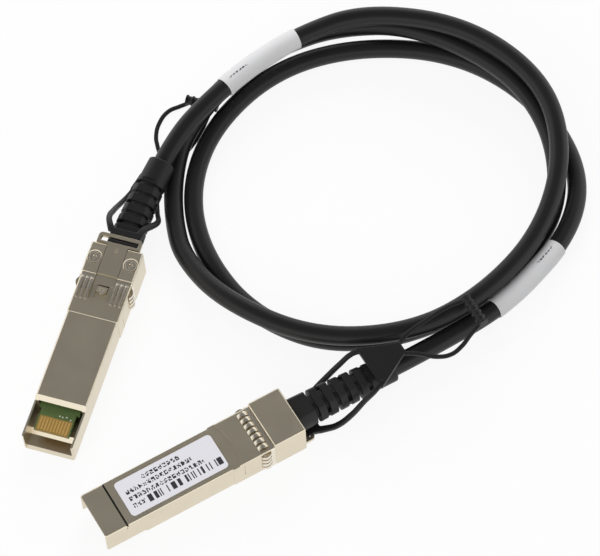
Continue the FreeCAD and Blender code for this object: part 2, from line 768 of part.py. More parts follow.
def plugPieces(tabShape, bend):
    outer = outerBody()
    return {
        "base_shell": baseShell(outer),
        "cover_shell": coverShell(outer),
        "finger_collar": fingerCollar(),
        "screws": screwPair(),
        "circuit_card": circuitCard(),
        "contacts": contactRow(),
        "card_parts": cardParts(),
        "core_wires": coreWires(),
        "clamp_ring": clampRing(),
        "jacket_tail": jacketTail(bend),
        "strain_boot": strainBoot(bend),
        "latch_slider": latchSlider(),
        "return_springs": returnSprings(),
        "pull_tab": pullTab(tabShape),
        "label_plate": labelPlate(),
    }


def placementB():
    # lying on the block's latch face
    return FreeCAD.Placement(rearB + Vector(-plugLength, 0, blockProudLatch), FreeCAD.Rotation())


def placementA():
    # turned over about its length, nose edge on the floor, cable end raised by the tilt
    turned = FreeCAD.Placement(Vector(0, 0, bodyHeight), FreeCAD.Rotation(Vector(1, 0, 0), 180))
    tilt = FreeCAD.Rotation(Vector(0, 1, 0), -tiltA)
    heading = FreeCAD.Rotation(Vector(0, 0, 1), headingA)
    back = plugLength * math.cos(math.radians(tiltA))
    nose = rearA - heading.multVec(Vector(back, 0, 0)) - Vector(0, 0, noseStep)
    return FreeCAD.Placement(nose, heading.multiply(tilt)).multiply(turned)


def exitPoint(placement, bend):
    return placement.multVec(bootSpot(bend, bootLength).Base)


# The cable's route between the boots, from plug A to plug B: two and a half loose turns
routeBetween = [
    (18.0, 39.8, 9.9), (28.5, 43.6, 11.2), (42.5, 47.6, 11.3), (60.5, 50.3, 10.3), (79.0, 46.7, 11.8),
    (99.0, 28.0, 13.8), (107.3, 3.4, 13.1), (100.6, -17.6, 11.7), (84.0, -33.5, 8.6), (61.9, -41.4, 8.5),
    (40.3, -41.4, 8.4), (18.1, -29.9, 8.5), (4.7, -8.4, 7.5), (2.6, 10.2, 3.9), (6.5, 22.0, 2.6),
    (12.1, 32.4, 2.5), (19.5, 41.0, 4.5), (30.5, 46.7, 5.9), (42.5, 50.9, 5.9), (56.5, 53.7, 3.8),
    (72.5, 51.5, 3.5), (89.2, 38.8, 7.7), (102.9, 13.7, 8.6), (103.2, -8.7, 7.3), (93.1, -27.3, 3.3),
    (76.1, -36.0, 2.6), (50.2, -40.9, 2.6), (23.8, -33.0, 2.8), (9.8, -13.9, 2.7), (7.6, 8.5, 2.6),
    (14.2, 27.6, 2.6), (29.0, 41.7, 2.6), (51.3, 48.7, 2.6), (73.7, 44.1, 2.6), (95.4, 29.0, 2.6),
    (106.3, 6.3, 2.7), (104.9, -19.3, 2.6), (92.1, -35.1, 4.5), (69.7, -43.6, 4.4), (52.6, -46.0, 5.2)]


def main():
    os.makedirs("parts", exist_ok=True)
    nodes = {}
    for suffix, placement, tabShape, bend in (("a", placementA(), tabA, bendOffsetA),
                                              ("b", placementB(), tabB, bendOffsetB)):
        for name, shape in plugPieces(tabShape, bend).items():
            placed = shape.copy()
            placed.Placement = placement.multiply(placed.Placement)
            nodes[name + "_" + suffix] = placed
    route = [Vector(*point) for point in routeBetween]
    route.insert(0, exitPoint(placementA(), bendOffsetA))
    route.append(exitPoint(placementB(), bendOffsetB))
    edges, radii = roundedPath(route)
    cable = tubeAlong(edges, cableRadius)
    length = sum(edge.Length for edge in edges)
    nodes["cable_jacket"] = cable
    print("cable length", round(length, 1), "smallest bend radius", round(min(radii), 1))
    print("bend radii", [round(radius, 1) for radius in radii])
    print("tube volume over section by length", round(cable.Volume / (math.pi * cableRadius ** 2 * length), 5))
    for name, begin in (("marker_sleeve_a", sleeveFromA), ("marker_sleeve_b", length - sleeveFromB - sleeveLength)):
        part = stretchOf(edges, begin, begin + sleeveLength)
        nodes[name] = tubeAlong(part, cableRadius + sleeveWall).cut(tubeAlong(part, cableRadius))
    for name, shape in nodes.items():
        if not shape.isValid():
            print("not valid", name)
        shape.exportStep("parts/" + name + ".step")
    whole = Part.makeCompound([shape for name, shape in nodes.items() if not name.startswith(("cable", "marker"))])
    limits = whole.optimalBoundingBox()
    print("plugs from", [round(v, 2) for v in (limits.XMin, limits.YMin, limits.ZMin)],
          "to", [round(v, 2) for v in (limits.XMax, limits.YMax, limits.ZMax)])
    print("nodes", len(nodes))


main()
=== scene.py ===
import bpy
import bmesh
import math
from mathutils import Matrix, Vector


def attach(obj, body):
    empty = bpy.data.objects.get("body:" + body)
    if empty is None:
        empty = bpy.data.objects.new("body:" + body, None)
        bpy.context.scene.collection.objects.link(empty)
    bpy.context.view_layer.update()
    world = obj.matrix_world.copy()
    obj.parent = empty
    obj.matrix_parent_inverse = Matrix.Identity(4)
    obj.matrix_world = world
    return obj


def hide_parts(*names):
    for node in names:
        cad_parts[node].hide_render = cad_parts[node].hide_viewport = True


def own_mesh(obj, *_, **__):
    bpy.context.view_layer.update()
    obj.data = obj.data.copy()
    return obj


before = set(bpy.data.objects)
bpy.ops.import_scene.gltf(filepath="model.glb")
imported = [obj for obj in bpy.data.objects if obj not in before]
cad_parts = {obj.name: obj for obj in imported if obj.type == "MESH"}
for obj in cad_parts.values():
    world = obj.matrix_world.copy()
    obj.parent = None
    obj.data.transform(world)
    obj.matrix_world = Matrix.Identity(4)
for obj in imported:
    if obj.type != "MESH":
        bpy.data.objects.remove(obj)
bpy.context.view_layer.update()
mm = 0.001
rootBody = "cable_assembly"

# where the two plugs lie; each plug is modelled along +X with its nose at 0 and its latch face at 0
plugLay = {"noseA": (-52.8, -20.4, -0.2), "headingA": 42.8, "tiltA": 2.2, "height": 8.6,
           "noseB": (-53.1, -45.25, 0.4)}
plugFrames = {
    "a": (Matrix.Translation(Vector(plugLay["noseA"]) * mm)
          @ Matrix.Rotation(math.radians(plugLay["headingA"]), 4, "Z")
          @ Matrix.Rotation(math.radians(-plugLay["tiltA"]), 4, "Y")
          @ Matrix.Translation((0, 0, plugLay["height"] * mm))
          @ Matrix.Rotation(math.pi, 4, "X")),
    "b": Matrix.Translation(Vector(plugLay["noseB"]) * mm),
}


# small tools for modelling
def clearSelection():
    if bpy.context.object and bpy.context.object.mode != "OBJECT":
        bpy.ops.object.mode_set(mode="OBJECT")
    bpy.ops.object.select_all(action="DESELECT")


def takeUp(piece):
    clearSelection()
    piece.select_set(True)
    bpy.context.view_layer.objects.active = piece
    return piece


def settle(piece, name):
    # puts the piece's place into its mesh
    takeUp(piece)
    bpy.ops.object.transform_apply(location=True, rotation=True, scale=True)
    piece.name = name
    return piece


def block(name, low, high):
    clearSelection()
    middle = [(a + b) / 2 * mm for a, b in zip(low, high)]
    size = [b - a for a, b in zip(low, high)]
    bpy.ops.mesh.primitive_cube_add(size=mm, location=middle, scale=size)
    return settle(bpy.context.object, name)


def evenBlock(name, start, end, half, low, high):
    # a block that reaches equally far to both sides of the plug's middle
    return block(name, (start, -half, low), (end, half, high))


def rod(name, start, end, radius, tipRadius=None, sides=64):
    # a round bar between two places, or a cone where tipRadius differs
    clearSelection()
    start = Vector(start) * mm
    end = Vector(end) * mm
    turn = (end - start).to_track_quat("Z", "Y").to_euler()
    bpy.ops.mesh.primitive_cone_add(vertices=sides, radius1=radius * mm, rotation=turn,
                                    location=(start + end) / 2,
                                    radius2=(radius if tipRadius is None else tipRadius) * mm,
                                    depth=(end - start).length)
    return settle(bpy.context.object, name)


def pick(piece, kind, test):
    # edit mode with only the faces, edges or points that pass the test
    takeUp(piece)
    bpy.ops.object.mode_set(mode="EDIT")
    bpy.ops.mesh.select_mode(type=kind)
    bpy.ops.mesh.select_all(action="DESELECT")
    shape = bmesh.from_edit_mesh(piece.data)
    for item in {"FACE": shape.faces, "EDGE": shape.edges, "VERT": shape.verts}[kind]:
        if test(item):
            item.select_set(True)
    bmesh.update_edit_mesh(piece.data)


def middleOf(edge):
    return (edge.verts[0].co + edge.verts[1].co) / 2 / mm


def runOf(edge):
    return (edge.verts[1].co - edge.verts[0].co).normalized()


def roundEdges(piece, test, width, segments=3):
    pick(piece, "EDGE", test)
    bpy.ops.mesh.bevel(offset=width * mm, segments=segments, affect="EDGES")
    bpy.ops.object.mode_set(mode="OBJECT")
    return piece


def runsAlong(axis, least=0.9):
    # a test for the edges that run along one axis
    return lambda edge: abs(getattr(runOf(edge), axis)) > least


def shiftPoints(piece, test, shift):
    pick(piece, "VERT", test)
    bpy.ops.transform.translate(value=[part * mm for part in shift])
    bpy.ops.object.mode_set(mode="OBJECT")
    return piece


def useModifier(piece, kind, **settings):
    takeUp(piece)
    modifier = piece.modifiers.new(kind, kind)
    for key, value in settings.items():
        setattr(modifier, key, value)
    bpy.ops.object.modifier_apply(modifier=modifier.name)
    return piece


def combine(piece, other, operation):
    useModifier(piece, "BOOLEAN", operation=operation, object=other, solver="EXACT")
    bpy.data.objects.remove(other)
    return piece


def carve(piece, cutters):
    for cutter in cutters:
        combine(piece, cutter, "DIFFERENCE")
    return piece


def joinAll(name, pieces):
    clearSelection()
    for piece in pieces:
        piece.select_set(True)
    bpy.context.view_layer.objects.active = pieces[0]
    bpy.ops.object.join()
    pieces[0].name = name
    return pieces[0]


def pieceOf(name, shape):
    bmesh.ops.recalc_face_normals(shape, faces=shape.faces)
    data = bpy.data.meshes.new(name)
    shape.to_mesh(data)
    shape.free()
    piece = bpy.data.objects.new(name, data)
    bpy.context.scene.collection.objects.link(piece)
    return piece


def twinOf(piece, shift=(0, 0, 0), turn=None):
    # a copy with its own mesh, turned about the origin and then moved
    twin = piece.copy()
    twin.data = piece.data.copy()
    bpy.context.scene.collection.objects.link(twin)
    twin.matrix_world = Matrix.Translation(Vector(shift) * mm) @ (turn or Matrix.Identity(4))
    return settle(twin, piece.name + "Twin")


def smooth(piece, angle=30):
    takeUp(piece)
    bpy.ops.object.shade_smooth_by_angle(angle=math.radians(angle))
    return piece


def cleanEdges(piece, width, segments=2, angle=40):
    # merges what the cuts left double and softens the sharp edges a little
    pick(piece, "VERT", lambda point: True)
    bpy.ops.mesh.remove_doubles(threshold=0.002 * mm)
    bpy.ops.mesh.dissolve_limited(angle_limit=math.radians(0.5))
    bpy.ops.object.mode_set(mode="OBJECT")
    useModifier(piece, "BEVEL", width=width * mm, segments=segments, limit_method="ANGLE",
                angle_limit=math.radians(angle), use_clamp_overlap=True)
    smooth(piece)
    return useModifier(piece, "WEIGHTED_NORMAL", keep_sharp=True, weight=100)


def fitToPlugs(piece, node, body, finish):
    # one copy at each plug, standing for the plug's own node
    for end, place in plugFrames.items():
        twin = twinOf(piece, turn=place)
        twin.name = piece.name + end.upper()
        dress(twin, node + "_" + end, body if body == rootBody else body + "_" + end, finish)
    bpy.data.objects.remove(piece)


def dress(piece, node, body, finish):
    piece.data.materials.clear()
    piece.data.materials.append(finish)
    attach(piece, body)
    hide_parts(node)


# finishes
class Wire:
    # a node's output; sums on it add Math nodes
    def __init__(self, sheet, socket):
        self.sheet = sheet
        self.socket = socket

    def maths(self, operation, first, second):
        return self.sheet.add("ShaderNodeMath", {"operation": operation}, {0: first, 1: second})

    def __add__(self, other):
        return self.maths("ADD", self, other)

    def __sub__(self, other):
        return self.maths("SUBTRACT", self, other)

    def __rsub__(self, other):
        return self.maths("SUBTRACT", other, self)

    def __mul__(self, other):
        return self.maths("MULTIPLY", self, other)

    def __truediv__(self, other):
        return self.maths("DIVIDE", self, other)

    def __mod__(self, other):
        return self.maths("FLOORED_MODULO", self, other)

    def __lt__(self, other):
        return self.maths("LESS_THAN", self, other)

    def __gt__(self, other):
        return self.maths("GREATER_THAN", self, other)

    def __and__(self, other):
        return self.maths("MINIMUM", self, other)

    def __or__(self, other):
        return self.maths("MAXIMUM", self, other)

    __radd__ = __add__
    __rmul__ = __mul__

    def size(self):
        return self.maths("ABSOLUTE", self, 0.0)

    def whole(self):
        return self.maths("FLOOR", self, 0.0)


class Sheet:
    # one node tree
    def __init__(self, tree):
        self.tree = tree
        tree.nodes.clear()

    def add(self, kind, settings=None, inputs=None, output=0):
        node = self.tree.nodes.new(kind)
        for key, value in (settings or {}).items():
            if key == "stops":
                self.setStops(node.color_ramp, value)
            else:
                setattr(node, key, value)
        for key, value in (inputs or {}).items():
            if isinstance(value, Wire):
                self.tree.links.new(value.socket, node.inputs[key])
            else:
                node.inputs[key].default_value = value
        return Wire(self, node.outputs[output]) if len(node.outputs) else node

    def setStops(self, ramp, stops):
        while len(ramp.elements) < len(stops):
            ramp.elements.new(0.5)
        for element, (place, shade) in zip(ramp.elements, stops):
            element.position = place
            element.color = shade if len(shade) == 4 else (*shade, 1.0)

    def places(self, source="Object"):
        return self.add("ShaderNodeTexCoord", output=source)

    def noise(self, scale, detail=3.0, rough=0.5, source="Object", stretch=(1, 1, 1)):
        spots = self.add("ShaderNodeMapping", {}, {"Vector": self.places(source), "Scale": stretch})
        return self.add("ShaderNodeTexNoise", {}, {"Vector": spots, "Scale": scale, "Detail": detail,
                                                   "Roughness": rough}, "Fac")

    def blend(self, share, first, second):
        first, second = [value if isinstance(value, Wire) else (*value, 1.0) for value in (first, second)]
        node = self.tree.nodes.new("ShaderNodeMix")
        node.data_type = "RGBA"
        for socket, value in ((node.inputs[0], share), (node.inputs[6], first), (node.inputs[7], second)):
            if isinstance(value, Wire):
                self.tree.links.new(value.socket, socket)
            else:
                socket.default_value = value
        return Wire(self, node.outputs[2])

    def shaded(self, values, bumps=()):
        # the surface: principled shader, with its bumps one after another
        normal = None
        for height, depth in bumps:
            inputs = {"Height": height, "Strength": 1.0, "Distance": depth * mm}
            if normal:
                inputs["Normal"] = normal
            normal = self.add("ShaderNodeBump", {}, inputs)
        if normal:
            values = dict(values, Normal=normal)
        shader = self.add("ShaderNodeBsdfPrincipled", {}, values)
        self.add("ShaderNodeOutputMaterial", {}, {"Surface": shader})


def newFinish(name):
    finish = bpy.data.materials.new(name)
    finish.use_nodes = True
    return finish, Sheet(finish.node_tree)


metalTone = {"shell": (0.785, 0.705, 0.55), "shellWorn": (0.82, 0.74, 0.59), "spring": (0.92, 0.86, 0.76),
             "latch": (0.785, 0.705, 0.55), "screw": (0.88, 0.83, 0.74)}


def metalFinish(name, tone, worn, rough, grain, depth):
    # nickel plating on cast or pressed metal: fine grain, a few dull patches, soft bump
    finish, sheet = newFinish(name)
    fine = sheet.noise(grain, 4.0, 0.6)
    patches = sheet.noise(180.0, 2.0)
    colour = sheet.blend(patches, (*[channel * 0.93 for channel in tone],), worn)
    sheet.shaded({"Base Color": colour, "Metallic": 1.0, "Roughness": rough + fine * 0.08 + patches * 0.05},
                 [(fine, depth)])
    return finish


def blackFinish(name, tone, rough, grain, depth, gloss=0.32):
    # soft black plastic: dust-fine grain and faint uneven gloss
    finish, sheet = newFinish(name)
    fine = sheet.noise(grain, 3.0, 0.6)
    patches = sheet.noise(120.0, 2.0)
    colour = sheet.blend(patches, (*[channel * 0.85 for channel in tone],), tone)
    sheet.shaded({"Base Color": colour, "Roughness": rough + patches * 0.12, "Specular IOR Level": gloss},
                 [(fine, depth)])
    return finish


def cardFinish(end):
    # green mask with faint traces, golden between the contacts, and four pale solder spots behind them
    finish, sheet = newFinish("cardGreen" + end.upper())
    place = plugFrames[end]
    spots = sheet.add("ShaderNodeMapping", {"vector_type": "TEXTURE"},
                      {"Vector": sheet.places(), "Location": place.to_translation(),
                       "Rotation": place.to_euler()})
    along = sheet.add("ShaderNodeSeparateXYZ", {}, {0: spots}, 0) * 1000
    across = sheet.add("ShaderNodeSeparateXYZ", {}, {0: spots}, 1) * 1000
    cloud = sheet.noise(900.0, 2.0)
    trace = sheet.noise(1600.0, 1.0, 0.5, stretch=(0.35, 1.0, 1.0))
    board = sheet.blend(cloud, (0.04, 0.085, 0.022), (0.12, 0.19, 0.05))
    board = sheet.blend(trace * 0.6, board, (0.10, 0.13, 0.04))
    bare = (along < cardLook["goldEnd"]) & (across.size() < cardLook["goldHalf"])
    board = sheet.blend(bare * (0.5 + cloud * 0.4), board, (0.36, 0.20, 0.05))
    for x, y in cardLook["spots"]:
        near = ((along - x).size() < cardLook["spotHalf"]) & ((across - y).size() < cardLook["spotHalf"])
        board = sheet.blend(near * 0.85, board, (0.75, 0.75, 0.66))
    sheet.shaded({"Base Color": board, "Roughness": 0.34 + cloud * 0.1}, [(trace, 0.02)])
    return finish


cardLook = {"goldEnd": 7.3, "goldHalf": 4.3, "spotHalf": 0.17,
            "spots": ((8.1, 0.6), (8.0, 1.4), (8.2, 2.4), (7.7, 3.6))}


def goldFinish():
    finish, sheet = newFinish("contactGold")
    scuff = sheet.noise(2600.0, 3.0)
    sheet.shaded({"Base Color": sheet.blend(scuff, (0.44, 0.24, 0.05), (0.72, 0.47, 0.15)), "Metallic": 0.3,
                  "Roughness": 0.26 + scuff * 0.2})
    return finish


def plainFinish(name, dark, light, rough, metallic=0.0, grain=700.0):
    finish, sheet = newFinish(name)
    cloud = sheet.noise(grain, 3.0)
    sheet.shaded({"Base Color": sheet.blend(cloud, dark, light), "Metallic": metallic,
                  "Roughness": rough + cloud * 0.1},
                 [(cloud, 0.008)])
    return finish


castMetal = metalFinish("castNickel", metalTone["shell"], metalTone["shellWorn"], 0.30, 5200.0, 0.006)
springMetal = metalFinish("springSheet", metalTone["spring"], metalTone["shellWorn"], 0.20, 2600.0, 0.003)
latchMetal = metalFinish("latchNickel", metalTone["latch"], metalTone["shellWorn"], 0.27, 4200.0, 0.005)
screwMetal = metalFinish("screwSteel", metalTone["screw"], metalTone["shellWorn"], 0.18, 2600.0, 0.003)
jacketBlack = blackFinish("jacketBlack", (0.013, 0.012, 0.012), 0.34, 2200.0, 0.008)
bootBlack = blackFinish("bootBlack", (0.014, 0.013, 0.013), 0.42, 3000.0, 0.010)
tabBlack = blackFinish("tabBlack", (0.013, 0.012, 0.013), 0.40, 3000.0, 0.008)
cardGreen = {end: cardFinish(end) for end in plugFrames}
contactGold = goldFinish()
partBlack = plainFinish("partBlack", (0.012, 0.012, 0.013), (0.03, 0.03, 0.032), 0.5)
coreBlue = plainFinish("coreBlue", (0.09, 0.16, 0.38), (0.14, 0.24, 0.5), 0.4)
clampBrass = plainFinish("clampBrass", (0.50, 0.36, 0.14), (0.72, 0.55, 0.26), 0.28, 1.0)
# painted shade: a near-black finish for the faces of the label field's groove, in place of the shadow that
# falls inside it
grooveDirt = plainFinish("grooveDirt", (0.02, 0.018, 0.014), (0.05, 0.045, 0.035), 0.6)
bareSteel = plainFinish("bareSteel", (0.52, 0.52, 0.53), (0.68, 0.68, 0.68), 0.22, 1.0)

kept = {"contacts": contactGold, "card_parts": partBlack, "core_wires": coreBlue, "clamp_ring": clampBrass,
        "jacket_tail": jacketBlack, "return_springs": bareSteel, "finger_collar": springMetal,
        "screws": screwMetal, "latch_slider": latchMetal, "base_shell": castMetal, "cover_shell": castMetal,
        "strain_boot": bootBlack, "pull_tab": tabBlack}
whiteFilm = plainFinish("sleeveWhite", (0.70, 0.70, 0.70), (0.80, 0.80, 0.80), 0.35)
kept.update({"label_plate": whiteFilm, "marker_sleeve": whiteFilm})
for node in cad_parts:
    finish = cardGreen[node[-1]] if node[:-2] == "circuit_card" else kept.get(node[:-2])
    if finish:
        for place in bpy.data.objects[node].material_slots:
            place.material = finish
print("materials ready")


# the cable: its route is the part's own, in metres
cable = {
    "diameter": 0.005,
    "length": 0.8237,
    "exitA": (0.01087, 0.03521, 0.00840),
    "exitB": (0.03189, -0.04600, 0.00560),
    "route": [
        (0.0180, 0.0398, 0.0099), (0.0285, 0.0436, 0.0112), (0.0425, 0.0476, 0.0113),
        (0.0605, 0.0503, 0.0103), (0.0790, 0.0467, 0.0118), (0.0990, 0.0280, 0.0138),
        (0.1073, 0.0034, 0.0131), (0.1006, -0.0176, 0.0117), (0.0840, -0.0335, 0.0086),
        (0.0619, -0.0414, 0.0085), (0.0403, -0.0414, 0.0084), (0.0181, -0.0299, 0.0085),
        (0.0047, -0.0084, 0.0075), (0.0026, 0.0102, 0.0039), (0.0065, 0.0220, 0.0026),
        (0.0121, 0.0324, 0.0025), (0.0195, 0.0410, 0.0045), (0.0305, 0.0467, 0.0059),
        (0.0425, 0.0509, 0.0059), (0.0565, 0.0537, 0.0038), (0.0725, 0.0515, 0.0035),
        (0.0892, 0.0388, 0.0077), (0.1029, 0.0137, 0.0086), (0.1032, -0.0087, 0.0073),
        (0.0931, -0.0273, 0.0033), (0.0761, -0.0360, 0.0026), (0.0502, -0.0409, 0.0026),
        (0.0238, -0.0330, 0.0028), (0.0098, -0.0139, 0.0027), (0.0076, 0.0085, 0.0026),
        (0.0142, 0.0276, 0.0026), (0.0290, 0.0417, 0.0026), (0.0513, 0.0487, 0.0026),
        (0.0737, 0.0441, 0.0026), (0.0954, 0.0290, 0.0026), (0.1063, 0.0063, 0.0027),
        (0.1049, -0.0193, 0.0026), (0.0921, -0.0351, 0.0045), (0.0697, -0.0436, 0.0044),
        (0.0526, -0.0460, 0.0052)],
}


def splineThrough(name, points):
    data = bpy.data.curves.new(name, "CURVE")
    data.dimensions = "3D"
    data.resolution_u = 12
    spline = data.splines.new("NURBS")
    spline.points.add(len(points) - 1)
    for knot, place in zip(spline.points, points):
        knot.co = (*place, 1.0)
    spline.order_u = 3
    spline.use_endpoint_u = True
    item = bpy.data.objects.new(name, data)
    bpy.context.scene.collection.objects.link(item)
    return item


routePoints = [cable["exitA"]] + cable["route"] + [cable["exitB"]]
bareRoute = splineThrough("routeLine", routePoints)
routeMesh = bpy.data.meshes.new_from_object(bareRoute.evaluated_get(bpy.context.evaluated_depsgraph_get()))
cableLine = [vertex.co.copy() for vertex in routeMesh.vertices]
bpy.data.objects.remove(bareRoute)
cablePiece = splineThrough("Cable", routePoints)
cablePiece.data.bevel_depth = cable["diameter"] / 2
cablePiece.data.bevel_resolution = 8
cablePiece.data.use_fill_caps = True
cablePiece.data.materials.append(jacketBlack)
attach(cablePiece, rootBody)
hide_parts("cable_jacket")
print("cable laid")


# the two die-cast shells of a plug, in millimetres from its nose
inside = {"half": 5.7, "low": 1.2, "high": 7.5, "end": 47.2, "axis": 5.2, "clampStart": 46.8, "clampEnd": 54,
          "clampRadius": 3.05, "neckStart": 53.3, "neckEnd": 57.5, "neckRadius": 3.53}
shell = {"length": 56.5, "noseHalf": 6.7, "low": 0.1, "high": 8.4, "bodyHalf": 6.85, "bodyHigh": 8.6,
         "stepX": 36.0, "blockHalf": 6.95, "blockLow": -0.4, "blockHigh": 9.8, "blockStart": 47.5,
         "noseTaper": 0.4, "noseBevel": 0.2, "split": 3.25, "edge": 0.5, "blockEdge": 0.5, "softness": 0.09}


def outerForm(name):
    half = shell["noseHalf"]
    form = evenBlock(name, shell["noseTaper"], shell["stepX"] + 0.2, half, shell["low"], shell["high"])
    pick(form, "FACE", lambda face: face.normal.x < -0.9)
    bpy.ops.mesh.extrude_region_move(TRANSFORM_OT_translate={"value": (-shell["noseTaper"] * mm, 0, 0)})
    bpy.ops.transform.resize(value=(1, 1 - shell["noseBevel"] / half,
                                    1 - 2 * shell["noseBevel"] / shell["high"]),
                             center_override=(0, 0, (shell["low"] + shell["high"]) / 2 * mm))
    bpy.ops.object.mode_set(mode="OBJECT")
    roundEdges(form, runsAlong("x", 0.7), shell["edge"])
    rear = evenBlock("rear", shell["stepX"] - 0.2, shell["blockStart"] + 0.5, shell["bodyHalf"], 0,
                     shell["bodyHigh"])
    roundEdges(rear, runsAlong("x"), shell["edge"])
    roundEdges(rear, lambda edge: (middleOf(edge).x < shell["stepX"] - 0.1
                                   and abs(runOf(edge).x) < 0.1), 0.12, 1)
    end = evenBlock("end", shell["blockStart"], shell["length"], shell["blockHalf"], shell["blockLow"],
                    shell["blockHigh"])
    roundEdges(end, lambda edge: True, shell["blockEdge"])
    combine(form, rear, "UNION")
    return combine(form, end, "UNION")


def keepHalf(form, upper):
    pick(form, "FACE", lambda face: True)
    bpy.ops.mesh.bisect(plane_co=(0, 0, shell["split"] * mm), plane_no=(0, 0, 1), use_fill=True,
                        clear_inner=upper, clear_outer=not upper)
    bpy.ops.object.mode_set(mode="OBJECT")
    return form


def innerSpaces():
    # room for the card, the cable's clamp and the boot's neck
    axis = inside["axis"]
    return [evenBlock("cavity", -1, inside["end"], inside["half"], inside["low"], inside["high"]),
            rod("clampRoom", (inside["clampStart"], 0, axis), (inside["clampEnd"], 0, axis),
                inside["clampRadius"]),
            rod("neckRoom", (inside["neckStart"], 0, axis), (inside["neckEnd"], 0, axis),
                inside["neckRadius"])]


def wedge(name, low, high, cut):
    # a block whose lower edge at its far end is cut back at 45 degrees
    return shiftPoints(block(name, low, high), lambda point: (point.co.x / mm > high[0] - 0.01
                                                              and point.co.z / mm < low[2] + 0.01),
                       (cut, 0, 0))


print("shells: base half")
baseShell = keepHalf(outerForm("BaseShell"), False)
latchSide = {"windowEnd": 10.4, "windowHigh": 1.3, "windowCut": 2.7, "openHalf": 6.2, "openHigh": 4.2,
             "channelHalf": 2.85, "channelHigh": 0.75, "stripStart": 44.9, "tineStart": 40.8,
             "tineEnd": 45.0, "wingStart": 48.0, "wingEnd": 55.2, "wingHalf": 4.0, "wingLow": 0.65,
             "wingHigh": 1.7, "screwX": 52.2, "screwY": 4.85, "boreRadius": 1.75, "boreHigh": 0.4,
             "boreSlope": 0.22, "below": -1.4, "beyond": 57.5}
below = latchSide["below"]
carve(baseShell, innerSpaces() + [
    wedge("window", (-1, -8, below), (latchSide["windowEnd"], 8, latchSide["windowHigh"]),
          latchSide["windowCut"]),
    evenBlock("opening", -1, latchSide["windowEnd"], latchSide["openHalf"], below, latchSide["openHigh"]),
    evenBlock("strip", latchSide["stripStart"], latchSide["beyond"], latchSide["channelHalf"], below,
              latchSide["channelHigh"]),
    evenBlock("tineRoom", latchSide["tineStart"], latchSide["tineEnd"], latchSide["channelHalf"], below,
              latchSide["channelHigh"]),
    evenBlock("wingRoom", latchSide["wingStart"], latchSide["wingEnd"], latchSide["wingHalf"],
              latchSide["wingLow"], latchSide["wingHigh"])])
for side in (-1, 1):
    x, y = latchSide["screwX"], side * latchSide["screwY"]
    low, slope = shell["blockLow"], latchSide["boreSlope"]
    carve(baseShell, [rod("bore", (x, y, below), (x, y, latchSide["boreHigh"]), latchSide["boreRadius"]),
                      rod("slope", (x, y, low - slope), (x, y, low + slope),
                          latchSide["boreRadius"] + 2 * slope, latchSide["boreRadius"])])
cleanEdges(baseShell, shell["softness"])

# the boss that the cage's spring snaps over: a low arrow pointing to the nose
boss = {"tip": 42.1, "shoulder": 43.0, "end": 44.4, "half": 1.3, "top": -0.4, "foot": 0.8, "dishHalf": 0.55,
        "dishStart": 0.15, "dishEnd": 0.45, "dishDepth": 0.12, "softness": 0.22}
bossPiece = evenBlock("Boss", boss["shoulder"], boss["end"], boss["half"], boss["top"], boss["foot"])
pick(bossPiece, "FACE", lambda face: face.normal.x < -0.9)
bpy.ops.mesh.extrude_region_move(
    TRANSFORM_OT_translate={"value": ((boss["tip"] - boss["shoulder"]) * mm, 0, 0)})
bpy.ops.transform.resize(value=(1, 0.02, 1), center_override=(0, 0, 0))
bpy.ops.object.mode_set(mode="OBJECT")
carve(bossPiece, [evenBlock("dish", boss["shoulder"] + boss["dishStart"], boss["end"] - boss["dishEnd"],
                            boss["dishHalf"], -1, boss["top"] + boss["dishDepth"])])
cleanEdges(bossPiece, boss["softness"], 3)
baseShell = joinAll("BaseShell", [baseShell, bossPiece])
fitToPlugs(baseShell, "base_shell", rootBody, castMetal)

print("shells: cover half")
labelField = {"start": 5.9, "crown": 38.9, "rise": 1.2, "level": 8.3, "pocket": (8.05, 35.95, 5.45),
              "pocketLevel": 8.12, "corner": 1.1, "grooveLow": 7.85, "grooveWidth": 0.5,
              "sideGrooveLow": 6.6, "sideGrooveWidth": 0.2}
coverShell = keepHalf(outerForm("CoverShell"), True)
arcRadius = (shell["noseHalf"] ** 2 + labelField["rise"] ** 2) / (2 * labelField["rise"])
arcMiddle = labelField["crown"] - arcRadius
field = rod("field", (arcMiddle, 0, labelField["level"]), (arcMiddle, 0, 9.6), arcRadius, sides=256)
combine(field, evenBlock("limit", labelField["start"], labelField["crown"] + 1, 7.5, 8, 10),
        "INTERSECT")
# the mouth: a slope behind the lip, then a ramp in the floor before the card
mouth = {"half": 6.2, "floor": 7.5, "lead": 0.75, "depth": 0.6, "rampStart": 3.7, "rampEnd": 5.1,
         "rampTop": 6.3}
lead = evenBlock("lead", -1, mouth["lead"], mouth["half"], mouth["floor"] - 0.1, mouth["floor"] + 0.01)
shiftPoints(lead, lambda point: point.co.x < 0 and point.co.z / mm > mouth["floor"],
            (0, 0, mouth["depth"] * (1 + mouth["lead"]) / mouth["lead"]))
ramp = block("ramp", (mouth["rampStart"], -latchSide["openHalf"] - 0.1, mouth["rampTop"]),
             (mouth["rampEnd"] + 4.0, latchSide["openHalf"] + 0.1, mouth["floor"] + 0.2))
shiftPoints(ramp, lambda point: (point.co.x / mm < mouth["rampStart"] + 0.1
                                 and point.co.z / mm < mouth["rampTop"] + 0.1),
            (mouth["rampEnd"] - mouth["rampStart"], 0, 0))
wide = evenBlock("wide", -1, latchSide["windowEnd"], latchSide["openHalf"], 1.2, mouth["floor"])
cornerGroove = [evenBlock("groove", labelField["start"] - 0.02,
                          labelField["start"] + labelField["grooveWidth"], 7.5, labelField["grooveLow"],
                          9.0)]
cornerGroove += [block("sideLine", (labelField["crown"] - 0.1, low, 3.0),
                       (labelField["crown"] + 0.12, high, 8.1))
                 for low, high in ((-7.5, -6.7), (6.7, 7.5))]
